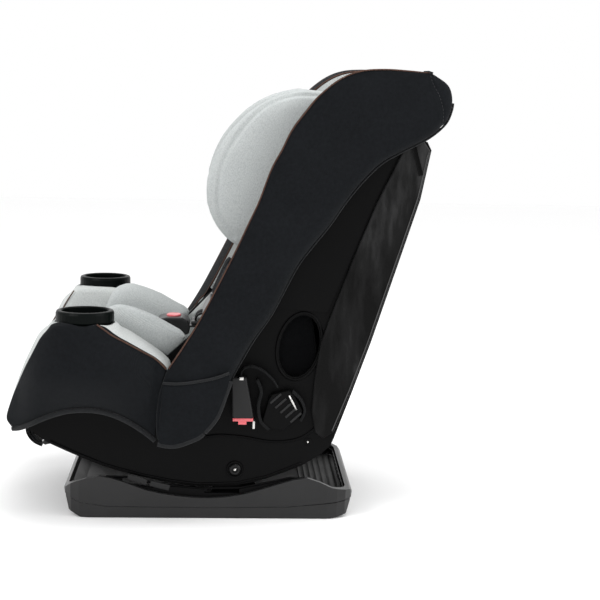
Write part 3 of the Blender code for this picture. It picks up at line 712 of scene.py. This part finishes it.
def wing_cover(side):
    """Sewn cover of the tall wing: outer panel, rolled rear edge, front gusset and lining."""
    rings = [wing_ring(side, i / 96) for i in range(97)]

    def cloth(i, j):
        if 23 <= j <= 28 and i < 87:
            return 2
        return 1 if j > 22 else 0

    made = skin(side_name("wing_cover_sewn", side), rings, [BLACK_CLOTH, GUSSET_CLOTH, LINING_CLOTH],
                cloth)
    smoother(made)
    ripple(made, 0.0011, 15.0, 3.0 * side)
    tip = spline(mm((306, 656), (311, 640), (321, 622), (327, 600), (326, 580)))
    groove(made, tip, 0.0012, 0.004, lambda p: p.yz if abs(p.x) > 0.165 else None)
    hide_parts(side_name("wing_cover", side))

    front = [along(WING_A, s) for s in [0.155 + 0.845 * i / 150 for i in range(151)]]
    tube(side_name("wing_piping", side), on_wing(side, front, -0.0030, 0.0007, -0.0006), 0.0010, PIPING)
    inner = []
    for share in [0.17 + 0.79 * i / 140 for i in range(141)]:
        ring = wing_ring(side, share)
        inner.append(ring[-5].lerp(ring[-6], 0.5) + Vector((-side * 0.0006, 0.0, 0.0)))
    tube(side_name("wing_lining_piping", side), inner, 0.0012, PIPING)
    rear = [along(WING_B, 0.13 + 0.79 * i / 120) for i in range(121)]
    hem = at(side * 0.1640, rear, 0.0024, -0.0020)
    # the rolled rear hem's paler tape stands partly for its highlight: painted highlight
    tube(side_name("wing_hem", side), hem, 0.0024, BINDING_TAPE_AND_HIGHLIGHT, 8, 0.7, (side, 0, 0))
    stitching(side_name("wing_tip_stitches", side), on_wing(side, tip, 0.0002), 0.003)
    tab = at(side * 0.1850, mm((298, 655.2), (305, 655.6), (311, 653.8)))
    tube(side_name("wing_piping_end", side), tab, 0.0022, GUSSET_CLOTH)


def two_faced(name, start, end, columns, faces, material):
    """A thin panel between two curves; faces(place, s, t) gives the x of both its faces."""
    rings = []
    for i in range(41):
        s = i / 40
        outer = []
        inner = []
        for j in range(columns + 1):
            place = along(start, s).lerp(along(end, s), j / columns)
            front, back = faces(place, s, j / columns)
            outer.append(point(front, place))
            inner.append(point(back, place))
        rings.append(outer + inner[::-1])
    return skin(name, rings, [material])


def side_pocket(side):
    """Separate panel at the wing's foot: a folded top edge and the bound hem below."""
    lower = evenly(spline(POCKET_HEM), 60)
    upper = sweep(60, (-66, 209.5), (-42, 209), (-13, 213), (8, 217.5), (29, 225))

    def faces(place, s, t):
        belly = 0.0020 * (1.0 - (2 * t - 1) ** 2) * (1.0 - (2 * s - 1) ** 4)
        reach = wing_reach(place.y)
        return side * (reach + 0.0018 + belly), side * (reach - 0.0015)

    made = two_faced(side_name("side_pocket", side), lower, upper, 12, faces, BLACK_CLOTH)
    smoother(made)
    ripple(made, 0.0008, 26.0, 7.0 * side)
    fold = on_wing(side, upper, 0.0022)
    tube(side_name("pocket_fold", side), fold, 0.0022, BINDING_TAPE_AND_HIGHLIGHT, 8, 0.7, (0, 0, 1))


def hems(side):
    """Binding tape along the scalloped bottom edges; the tape is slightly paler, and its paleness is
    partly a painted highlight.
    """
    path = on_cover(side, evenly(spline(HEM), 90), -0.0020, -0.0010)
    tube(side_name("cover_binding", side), path, 0.0036, BINDING_TAPE_AND_HIGHLIGHT, 10, 0.55, (0, 0, 1))
    stitches = [p + Vector((side * 0.0024, 0.0, 0.0042)) for p in path]
    stitching(side_name("cover_hem_stitches", side), stitches, 0.0035)
    path = on_wing(side, evenly(spline(POCKET_HEM), 70), 0.0005, 0.0, -0.0006)
    tube(side_name("pocket_binding", side), path, 0.0034, BINDING_TAPE_AND_HIGHLIGHT, 10, 0.6, (0, 0.7, 0.7))


# ---------------------------------------------------------------- seat sides

def seat_side(side):
    """Sewn cover of the seat's side: dark outer panel, pale front, armrest top and inner lining."""
    lower = evenly(spline(HEM), 240)
    upper = evenly(spline(COVER_FRONT, 4) + spline(COVER_TOP, 4) + mm((-66.5, 209), (-72, 190)), 240)
    inside = sweep(240, (-279, 152), (-272, 176), (-258, 190), (-200, 190), (-120, 188), (-66, 186))
    rings = []
    for i in range(97):
        s = i / 96
        low = along(lower, s)
        high = along(upper, s)
        run = (along(upper, s + 0.01) - along(upper, s - 0.01)).normalized()
        out = Vector((-run.y, run.x))
        ring = []
        for j in range(17):
            t = j / 16
            place = low.lerp(high, t)
            edge = 0.0050 * (1 - t) ** 8 + 0.0030 * t ** 8
            ring.append(point(side * (cover_reach(place.x, place.y) - edge), place))
        reach = abs(ring[-1].x)
        front = 1.0 - ramp(s, 0.36, 0.42)
        rear = ramp(s, 0.60, 0.72)
        bulge = 0.0085 * front * ramp(s, 0.02, 0.34) + 0.0070 * rear * (1.0 - ramp(s, 0.90, 1.0))
        seam = 0.012 + 0.140 * ramp(s, 0.37, 0.45) * (1.0 - ramp(s, 0.55, 0.62))
        for t in (seam, 0.21, 0.34, 0.5, 0.68, 0.84, 0.95):
            place = high + out * (bulge * (1.0 - (2 * t - 1) ** 4) ** 0.5)
            x = reach + (0.1378 - reach) * t
            from_cup = (Vector((x, place.x)) - CUP.xy).length
            lift = max(0.2962 - place.y, 0.0) * (1.0 - ramp(from_cup, 0.0455, 0.0570))
            ring.append(Vector((side * x, place.x, place.y + lift)))
        edge = high - out * 0.0015
        deep = along(inside, s)
        ring.append(point(side * 0.1368, edge))
        ring += at(side * 0.1364, [edge.lerp(deep, t) for t in (0.3, 0.6, 1.0)])
        ring += at(side * 0.1379, [edge.lerp(deep, t) for t in (0.97, 0.5, 0.12)])
        under = high - out * 0.0030 + out * bulge * 0.6
        ring.append(point(side * 0.1400, under))
        ring.append(point(side * 0.1480, under))
        ring += at(side * 0.1490, [low.lerp(high, t) for t in (0.86, 0.6, 0.3)])
        ring.append(Vector((side * 0.1490, low.x, low.y + 0.002)))
        ring.append(Vector((side * 0.178, low.x, low.y + 0.002)))
        rings.append(ring)

    def cloth(i, j):
        return 1 if 17 <= j <= 29 and i > 4 else 0

    made = skin(side_name("seat_side_sewn", side), rings, [BLACK_CLOTH, LINING_CLOTH], cloth)
    smoother(made)
    ripple(made, 0.0010, 13.0, 11.0 * side)
    form = bmesh.new()
    bmesh.ops.create_cone(form, cap_ends=True, segments=48, radius1=0.0427, radius2=0.0427, depth=0.12)
    bmesh.ops.transform(form, matrix=Matrix.Translation((side * CUP.x, CUP.y, 0.2815)),
                        verts=form.verts)
    cutter = finish_mesh("cutter", form, [LINING_CLOTH])
    cut = made.modifiers.new("cup", "BOOLEAN")
    cut.operation = "DIFFERENCE"
    cut.object = cutter
    bake(made)
    bpy.data.objects.remove(cutter, do_unlink=True)
    sharp(made, 60)
    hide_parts(side_name("seat_side_cover", side))

    path = on_cover(side, evenly(spline(COVER_TOP[3:]), 60), -0.0028, 0.0004)
    tube(side_name("seat_piping", side), path, 0.0011, PIPING)
    path = at(side * 0.1382, evenly(spline(COVER_FRONT[3:]), 50), -0.0018)
    tube(side_name("seat_inner_piping", side), path, 0.0010, PIPING)


def side_lining(side):
    """Pale lining on the inner face of the shell's side, between the seat and the back."""
    front = sweep(80, (-62, 190), (-60, 236), (-34, 260), (32, 326), (80, 342), (118, 353), (148, 365))
    rear = sweep(80, (82, 197), (84, 232), (86, 252), (96, 279), (113, 304), (132, 328), (155, 366))

    def faces(place, s, t):
        belly = 0.0006 * (1.0 - (2 * t - 1) ** 4)
        return side * (LINING_FACE - 0.0012 - belly), side * LINING_FACE

    made = two_faced(side_name("side_lining", side), front, rear, 16, faces, LINING_CLOTH)


# ---------------------------------------------------------------- pads

def pad_between(name, under, top, half_width, body="shell"):
    """A rough closed cushion across the seat between two (y, z) curves."""
    lower = evenly(spline(under), 80)
    upper = evenly(spline(top), 80)
    rows = 20
    columns = 26
    rings = []
    for i in range(columns + 1):
        s = eased(i, columns)
        a = along(lower, s)
        b = along(upper, s)
        ring = []
        for j in range(rows + 1):
            t = eased(j, rows)
            place = a.lerp(b, 0.12 + 0.88 * crown(s, 3.0) * crown(t, 3.0))
            ring.append(point(half_width * (2 * t - 1), place))
        for j in range(rows - 1, 0, -1):
            ring.append(point(half_width * (2 * eased(j, rows) - 1), a))
        rings.append(ring)
    return skin(name, rings, [PALE_CLOTH], body=body)


def seat_cushion():
    """Seat pad with a rolled front, two long channels and a cross seam."""
    under = mm((-271, 157), (-268, 184), (-256, 188), (-200, 187), (-60, 180), (40, 184), (63, 193))
    top = mm((-287, 158), (-279, 190), (-263, 219), (-240, 235), (-200, 231), (-120, 219),
             (-40, 207), (30, 205), (63, 209))
    made = pad_between("seat_cushion_sewn", under, top, 0.1315)
    inflate(made, 0.006)

    def on_top(p):
        return p.xy if p.z > 0.200 else None

    for x in (-62, 62):
        groove(made, mm((x, -262), (x * 1.1, 60)), 0.0045, 0.010, on_top)
    groove(made, mm((-130, -215), (130, -215)), 0.0035, 0.009, on_top)
    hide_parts("seat_cushion")


def back_cushion():
    """Back pad with two upright channels and a dark backing."""
    under = [on_back(h, 0.0095) for h in (-0.087, 0.010, 0.104)]
    top = [on_back(h, 0.042) for h in (-0.087, 0.010, 0.104)]
    made = pad_between("back_cushion_sewn", under, top, 0.127)
    inflate(made, 0.005)
    made.data.materials.append(BACKING_CLOTH)
    forward = Vector((-cos(BACK_TILT), sin(BACK_TILT)))
    for face in made.data.polygons:
        if (face.center.yz - BACK_FOOT).dot(forward) < 0.020:
            face.material_index = 1
    for x in (-75, 75):
        groove(made, mm((x, 200), (x * 0.9, 420)), 0.004, 0.010, lambda p: p.xz)
    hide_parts("back_cushion")


def thigh_bolster(side):
    """Plump insert along the seat's inner side."""
    lower = sweep(80, (-176, 244), (-150, 240), (-110, 234), (-66, 228))
    upper = sweep(80, (-174, 264), (-160, 298), (-146, 309), (-125, 311), (-86, 298), (-59, 283),
                  (-34, 267), (-45, 245))
    inner = 0.1350
    outer = 0.098
    rows = 18
    columns = 26
    rings = []
    for i in range(columns + 1):
        s = eased(i, columns)
        a = along(lower, s)
        b = along(upper, s)
        ring = []
        for j in range(rows + 1):
            t = eased(j, rows)
            swell = 0.1 + 0.9 * crown(s, 2.6) * crown(t, 2.6)
            place = a.lerp(b, t)
            ring.append(point(side * (inner + (outer - inner) * swell), place))
        ring += at(side * inner, [a.lerp(b, eased(j, rows)) for j in range(rows - 1, 0, -1)])
        rings.append(ring)
    made = skin(side_name("thigh_bolster_sewn", side), rings, [PALE_CLOTH])
    inflate(made, 0.005)
    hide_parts(side_name("thigh_bolster", side))


HEADREST_FRONT = mm((40, 396), (24, 404), (6, 424), (-7, 450), (-11, 474), (-10, 495), (-3, 522),
                    (13, 555), (39, 586), (67, 608.5), (97, 622.5), (132, 631))


def headrest_wing(side):
    """Deep padded side of the headrest, with a rim band marked off by a sewn seam."""
    rear = evenly([on_back(h, 0.0200) for h in (0.143, 0.20, 0.27, 0.341)], 80)
    front = evenly(spline(HEADREST_FRONT), 80)
    middle = 0.1235
    half = 0.0160
    rings = []
    for i in range(37):
        s = eased(i, 36)
        ring = []
        for face, order in ((1, range(25)), (-1, range(24, -1, -1))):
            for j in order:
                t = eased(j, 24)
                edge = max(1.0 - max(0.0, (t - 0.62) / 0.38) ** 2.6, 0.0) ** 0.5
                thick = half * (0.25 + 0.75 * edge * crown(s, 7))
                place = along(rear, s).lerp(along(front, s), t)
                ring.append(point(side * (middle + face * thick), place))
        rings.append(ring)
    made = skin(side_name("headrest_wing_sewn", side), rings, [PALE_CLOTH], body="headrest")
    inflate(made, 0.003, 0.0045)
    seam = sweep(60, (34, 413), (14, 441), (9, 467), (10, 493), (16, 522), (31, 552), (54, 583),
                 (81, 606), (116, 619), (155, 620))
    groove(made, seam, 0.0028, 0.0045, lambda p: p.yz if abs(p.x) > 0.118 else None)
    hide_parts(side_name("headrest_wing", side))


def headrest_pad():
    heights = (0.136, 0.19, 0.25, 0.30, 0.342)
    under = [on_back(h, 0.0185) for h in heights]
    top = [on_back(h, 0.055) for h in heights]
    made = pad_between("headrest_pad_sewn", under, top, 0.0990, "headrest")
    inflate(made, 0.004)
    rim = [Vector((0.075 * cos(i * pi / 24), 0.512 + 0.070 * sin(i * pi / 24))) for i in range(49)]
    groove(made, rim, 0.0035, 0.008, lambda p: p.xz)
    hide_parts("headrest_pad")


# ---------------------------------------------------------------- harness

def harness_place(side, place, share):
    """The straps spread from the buckle to the shoulders."""
    return point(side * (0.024 + 0.032 * share), place)


def harness(side):
    """Shoulder strap and its sewn pad."""
    path = evenly(spline(HARNESS_PATH), 70)
    proud = Vector((0.0, -0.0006, 0.0004))
    points = [harness_place(side, p, i / 69) + proud for i, p in enumerate(path)]
    strap(side_name("shoulder_strap", side), points, 0.035, 0.0016,
          (side_name("harness_strap", side),))
    middle = evenly(evenly(spline(HARNESS_PATH[2:5]), 40)[:30], 24)
    out = Vector((-0.90, 0.43))
    rings = []
    for i, p in enumerate(middle):
        s = i / 23
        end = crown(s, 6, 0.5)
        centre = harness_place(side, p + out * 0.0078, 0.40 + 0.24 * s)
        half = 0.0215 * (0.82 + 0.18 * end)
        thick = 0.0043 * (0.45 + 0.55 * end)
        ring = []
        for j in range(16):
            angle = 2 * pi * j / 16
            u = abs(cos(angle)) ** 0.6 * (1 if cos(angle) >= 0 else -1)
            v = abs(sin(angle)) ** 0.8 * (1 if sin(angle) >= 0 else -1)
            ring.append(centre + Vector((half * u, out.x * thick * v, out.y * thick * v)))
        rings.append(ring)
    pad = skin(side_name("shoulder_pad_sewn", side), rings, [GUSSET_CLOTH])
    smoother(pad)
    ripple(pad, 0.0007, 60.0, side)
    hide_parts(side_name("shoulder_pad", side))
    edge = [harness_place(side, p + out * 0.0125, 0.40 + 0.24 * i / 23) for i, p in enumerate(middle)]
    for shift in (-0.0165, 0.0165):
        row = [p + Vector((shift, 0, 0)) for p in edge[2:-2]]
        stitching(side_name("pad_stitches_%d" % (1 if shift > 0 else 2), side), row, 0.003)


def tongue_grips():
    """Moulded grips on the two tongues and the slack webbing folded over them."""
    for side in (1, -1):
        low, high = sorted((side * 0.0020, side * 0.0222))
        block(side_name("tongue_grip", side), (low, -0.0300, 0.2655), (high, -0.0175, 0.2712), 0.0018,
              BUCKLE_PLASTIC)
        fold = at(side * 0.0125, sweep(20, (-24, 273), (-20, 280), (-12, 283), (-6, 279), (-9, 271)))
        strap(side_name("tongue_webbing", side), fold, 0.0185, 0.0030)


def small_straps():
    """Crotch strap, adjuster tail and top tether."""
    path = at(0, sweep(16, (-58, 213), (-52, 226), (-46, 238), (-42, 248.2)))
    strap("crotch_webbing", path, 0.037, 0.0016, ("crotch_strap",))
    path = at(0, sweep(24, (-282.5, 117), (-283.5, 103), (-281.5, 90), (-272, 78), (-259, 71.5)))
    strap("adjuster_tail", path, 0.029, 0.0018, ("adjuster_strap",))
    for i, inset in enumerate((0.0035, 0.0070)):
        fold = [p + Vector((0.0, inset, inset * 0.6)) for p in path[6:-3]]
        strap("adjuster_tail_fold_%d" % (i + 1), fold, 0.029, 0.0030)
    path = at(0, evenly(mm((325, 538), (312, 474), (287, 395), (263, 318)), 40))
    strap("tether_webbing", path, 0.036, 0.0018, ("tether_strap",))


# ---------------------------------------------------------------- anchors and shell details

def lower_anchor(side):
    """Webbing, pins and trim of the stowed lower-anchor connector and its adjuster."""
    loop = sweep(30, (46, 212), (48, 221), (58, 226.5), (76, 221.5), (92, 208), (100, 196))
    hang = sweep(24, (70, 207), (76, 190), (72, 168), (76, 146), (88, 134))
    far = sweep(16, (122, 190), (134, 178), (140, 162), (134, 147))
    for stem, path, thickness, replaced in (("anchor_webbing", loop, 0.0020, ("latch_webbing",)),
                                            ("anchor_fold", hang, 0.0050, ()),
                                            ("anchor_fold_rear", far, 0.0040, ())):
        strap(side_name(stem, side), at(side * 0.159, path), 0.016, thickness,
              [side_name(node, side) for node in replaced])
    trims = (("anchor_pin_0", (0.1595, 0.0465, 0.2095), (0.0095, 0.0034, 0.0024), STEEL),
             ("anchor_pin_1", (0.1595, 0.0655, 0.1410), (0.0095, 0.0018, 0.0060), STEEL),
             ("anchor_red_strip", (0.15995, 0.0495, 0.1485), (0.00945, 0.0150, 0.0023), RED_PLASTIC))
    for stem, centre, half, material in trims:
        middle = Vector((side * centre[0], *centre[1:]))
        block(side_name(stem, side), middle - Vector(half), middle + Vector(half), 0.0010, material)
    half = Vector((0.0010, 0.0105, 0.0016))
    for i in range(5):
        place = Vector((0.097, 0.180)).lerp(Vector((0.127, 0.152)), i / 4)
        centre = point(side * 0.1655, place)
        block(side_name("adjuster_rib_%d" % i, side), centre - half, centre + half, 0.0007,
              TRIM_PLASTIC, Matrix.Rotation(radians(42), 4, "X"))
    bar = at(side * 0.1662, mm((116.5, 185), (127.5, 164)))
    tube(side_name("adjuster_bar", side), bar, 0.0017, STEEL)


def window_outline():
    """The tilted oval round the belt window."""
    tilt = Matrix.Rotation(radians(-12), 2)
    turns = [2 * pi * i / 48 for i in range(49)]
    return [Vector((0.131, 0.255)) + tilt @ Vector((0.0325 * cos(a), 0.0505 * sin(a))) for a in turns]


def shell_details(side):
    """Raised rims, a lip, a screw, the pivot's collar and point, and a small strap on the shell's side.
    """
    tube(side_name("window_rim", side), at(side * 0.1482, window_outline()), 0.0022, SHELL_PLASTIC)
    screw = (0.146, 0.112)
    parts = (
        ("shell_screw", PLATE_FACE, screw, SHELL_PLASTIC, 20, "steel",
         [(0.0, 0.0), (0.0056, 0.0), (0.0056, 0.0014), (0.0046, 0.0022), (0.0030, 0.0022),
          (0.0024, 0.0012), (0.0, 0.0012)]),
        ("screw_point", PLATE_FACE, screw, STEEL, 16, "steel",
         [(0.0, 0.0), (0.0016, 0.0), (0.0016, 0.0018), (0.0011, 0.0023), (0.0, 0.0023)]),
        ("pivot_point", 0.1514, PIVOT, STEEL, 16, "steel",
         [(0.0, 0.0), (0.0019, 0.0), (0.0019, 0.0015), (0.0013, 0.0020), (0.0, 0.0020)]),
        ("pivot_collar", PLATE_FACE, PIVOT, SHELL_PLASTIC, 40, "black_plastic",
         [(0.0100, 0.0), (0.0128, 0.0), (0.0120, 0.0024), (0.0106, 0.0024)]),
    )
    for stem, x, place, material, segments, slot, profile in parts:
        turned(side_name(stem, side), profile, (side * x, *place), (side, 0, 0), material, segments)
    lip = sweep(50, (-30, 112), (10, 121), (50, 119), (95, 112), (135, 118), (165, 140))
    tube(side_name("shell_lip", side), at(side * PLATE_FACE, lip), 0.0020, SHELL_PLASTIC)
    edge = evenly(mm((-232, 110), (-196, 93.5), (-151, 75.5), (-100, 61.5), (-54, 52.5), (-14, 47.5),
                     (42, 49.5), (86, 59.5), (137, 80)), 70)
    tube(side_name("shell_bottom_rim", side), at(side * PLATE_FACE, edge), 0.0018, SHELL_PLASTIC)
    rear = evenly(mm((184, 130), (208, 191), (234, 264), (276, 395), (301, 474), (314.5, 541)), 60)
    # thin rim tube in lighter plastic: painted highlight along the column's rear edge
    tube(side_name("column_rim", side), at(side * 0.1548, rear, -0.003), 0.0008, RIM_HIGHLIGHT_PLASTIC)
    loop = at(side * 0.1555, evenly(mm((289, 556), (302, 508)), 10))
    strap(side_name("column_strap", side), loop, 0.0062, 0.0018,
          material=SHELL_PLASTIC, across=(0, 0.94, 0.34))


def window_lining(side):
    """Padded dark lining that hangs inside the belt window."""
    outline = evenly(spline(mm((90, 232), (102, 211), (128, 203), (150, 209), (157, 232), (155, 264),
                               (150, 290), (141, 303), (122, 301), (103, 277), (92, 252))
                            + mm((90, 232))), 60)[:-1]
    middle = sum(outline, Vector((0.0, 0.0))) / len(outline)
    rings = []
    for size, x in ((0.20, 0.1352), (0.55, 0.1356), (0.88, 0.1350), (1.0, 0.1338), (1.0, 0.1326),
                    (0.88, 0.1318), (0.55, 0.1316), (0.20, 0.1316)):
        rings.append([Vector((side * x, *(middle + (p - middle) * size))) for p in outline])
    made = skin(side_name("window_lining", side), rings, [BACKING_CLOTH])
    smoother(made)
    ripple(made, 0.0012, 40.0, 5.0 * side)


def rear_tub_liner():
    """Ribbed dark liner round the rear inside of the base."""
    corner = [Vector((0.1190 + 0.0365 * cos(a), 0.1660 + 0.0365 * sin(a)))
              for a in [pi / 2 * i / 8 for i in range(9)]]
    half = [Vector((0.1555, 0.1608))] + corner
    plan = half + [Vector((-p.x, p.y)) for p in half[::-1]]
    rings = []
    for i, p in enumerate(evenly(plan, 61)):
        top = 0.0372 + 0.0150 * ramp(0.203 - p.y, 0.0, 0.045)
        inward = Vector((-p.x, 0.10 - p.y)).normalized() * (0.0018 if i % 4 else 0.0034)
        q = p + inward
        rings.append([Vector((p.x, p.y, 0.031)), Vector((p.x, p.y, top)), Vector((q.x, q.y, top)),
                      Vector((q.x, q.y, 0.031))])
    sharp(skin("tub_liner", rings, [SHELL_PLASTIC], body="base"), 40)


def tub_mat():
    """Ribbed dark mat on the tub's floor behind the shell: painted shade, a dark sheet laid where shade
    falls on the floor.
    """
    rings = []
    for i in range(29):
        y = 0.1400 + 0.0022 * i
        top = 0.0297 if i % 4 == 0 else 0.0282
        half = 0.1500 - 0.030 * ramp(y, 0.175, 0.206)
        rings.append([Vector((-half, y, 0.0265)), Vector((half, y, 0.0265)), Vector((half, y, top)),
                      Vector((-half, y, top))])
    sharp(skin("tub_mat", rings, [SHELL_PLASTIC], body="base"), 40)


def back_details():
    """Ribs and two crossbars on the rear cover."""
    line = evenly(mm((186, 122), (210, 188), (236, 262), (278, 394), (303, 473), (317, 544)), 80)
    for i, x in enumerate((-0.105, -0.070, -0.035, 0.035, 0.070, 0.105)):
        tube("rear_rib_%d" % i, at(x, line[10:72], -0.0030, 0.0010), 0.0024, SHELL_PLASTIC)
    for i, s in enumerate((0.13, 0.90)):
        place = along(line, s)
        path = [Vector((x / 100, place.x - 0.0030, place.y + 0.0010)) for x in range(-11, 12)]
        tube("rear_crossbar_%d" % i, path, 0.0028, SHELL_PLASTIC)


def base_details():
    """Beads along the rails and two small plates near the front on each side of the base."""
    for side in (1, -1):
        path = evenly(mm((-150, 59), (-120, 58.6), (-86, 51), (-54, 46), (-14, 42), (46, 43), (86, 51),
                         (120, 59), (146, 58)), 60)
        tube(side_name("rail_bead", side), at(side * 0.1536, path), 0.0016, SHELL_PLASTIC, body="base")
        for i, (y, z, angle) in enumerate(((-0.104, 0.0555, -17), (-0.071, 0.0465, -14))):
            low = Vector((-0.0006, -0.0145, -0.0042))
            centre = Vector((side * 0.1571, y, z))
            block(side_name("rail_plate_%d" % i, side), centre + low, centre - low, 0.0005,
                  TRIM_PLASTIC, Matrix.Rotation(radians(angle), 4, "X"), "base")


def cad_finishes():
    """Better materials on the CAD nodes that stay visible."""
    finishes = {
        BASE_PLASTIC: ("base_foot", "base_housing"),
        SHELL_PLASTIC: ("shell_side_left", "shell_side_right", "wing_shell_left", "wing_shell_right",
                        "seat_pan", "back_panel", "belly_panel", "rear_cover", "headrest_frame",
                        "bracket_left", "bracket_right", "rail_left", "rail_right",
                        "cup_socket_left", "cup_socket_right", "adjuster_housing",
                        "latch_adjuster_left", "latch_adjuster_right"),
        COLUMN_PLASTIC: ("column_left", "column_right"),
        CUP_PLASTIC: ("cup_holder_left", "cup_holder_right"),
        BUCKLE_PLASTIC: ("buckle", "chest_clip", "tongue_left", "tongue_right"),
        BOLT_COATING: ("pivot_bolt_left", "pivot_bolt_right"),
        TRIM_PLASTIC: ("latch_connector_left", "latch_connector_right", "recline_lever",
                       "headrest_handle"),
        RED_PLASTIC: ("buckle_button", "adjuster_button", "latch_button_left", "latch_button_right"),
        STEEL: ("tether_hook",),
    }
    for material, names in finishes.items():
        for name in names:
            NODES[name].data.materials.clear()
            NODES[name].data.materials.append(material)


# ---------------------------------------------------------------- stage

def add_camera():
    yaw = radians(2.73)
    pitch = radians(7.79)
    roll = radians(1.08)
    forward = Vector((-cos(yaw) * cos(pitch), sin(yaw) * cos(pitch), -sin(pitch)))
    level = forward.cross(Vector((0, 0, 1))).normalized()
    above = level.cross(forward)
    right = cos(roll) * level + sin(roll) * above
    up = cos(roll) * above - sin(roll) * level
    data = bpy.data.cameras.new("camera")
    data.lens = 98.2
    data.sensor_width = 36.0
    camera = bpy.data.objects.new("camera", data)
    bpy.context.scene.collection.objects.link(camera)
    turn = Matrix((right, up, -forward)).transposed().to_4x4()
    camera.matrix_world = Matrix.Translation((2.511, 0.018, 0.647)) @ turn
    bpy.context.scene.camera = camera


def add_area(name, place, target, size, power):
    data = bpy.data.lights.new(name, "AREA")
    data.shape = "RECTANGLE"
    data.size = size[0]
    data.size_y = size[1]
    data.energy = power
    light = bpy.data.objects.new(name, data)
    bpy.context.scene.collection.objects.link(light)
    light.location = place
    aim = Vector(target) - Vector(place)
    light.rotation_euler = aim.to_track_quat("-Z", "Y").to_euler()


def add_stage():
    """Pale floor, pale surroundings and soft boxes."""
    form = bmesh.new()
    bmesh.ops.create_grid(form, x_segments=1, y_segments=1, size=6.0)
    floor_mesh = bpy.data.meshes.new("floor")
    form.to_mesh(floor_mesh)
    form.free()
    floor = bpy.data.objects.new("floor", floor_mesh)
    bpy.context.scene.collection.objects.link(floor)
    floor.location = (0.0, 0.0, cad_box[0][2] - 0.0005)
    floor_mesh.materials.append(new_material("floor_white", (0.97, 0.97, 0.97), 0.9))
    world = bpy.data.worlds.new("surroundings")
    world.use_nodes = True
    background = world.node_tree.nodes["Background"]
    background.inputs["Color"].default_value = (1.0, 1.0, 1.0, 1.0)
    background.inputs["Strength"].default_value = 1.0
    bpy.context.scene.world = world
    add_area("key", (1.6, -1.9, 2.0), (0.0, 0.0, 0.35), (1.2, 1.2), 26.0)
    add_area("top", (0.2, 0.3, 2.3), (0.0, 0.05, 0.3), (1.4, 1.4), 22.0)
    add_area("rim", (0.9, 2.0, 1.1), (0.1, 0.1, 0.35), (0.5, 1.4), 16.0)
    bpy.context.scene.view_settings.view_transform = "Standard"


def build():
    add_camera()
    add_stage()
    cad_finishes()
    for side in (1, -1):
        wing_cover(side)
        side_pocket(side)
        hems(side)
        seat_side(side)
        side_lining(side)
        thigh_bolster(side)
        headrest_wing(side)
        harness(side)
        lower_anchor(side)
        shell_details(side)
        window_lining(side)
    seat_cushion()
    back_cushion()
    headrest_pad()
    small_straps()
    tongue_grips()
    back_details()
    base_details()
    rear_tub_liner()
    # dark mat on the tub floor: painted shade
    tub_mat()


build()
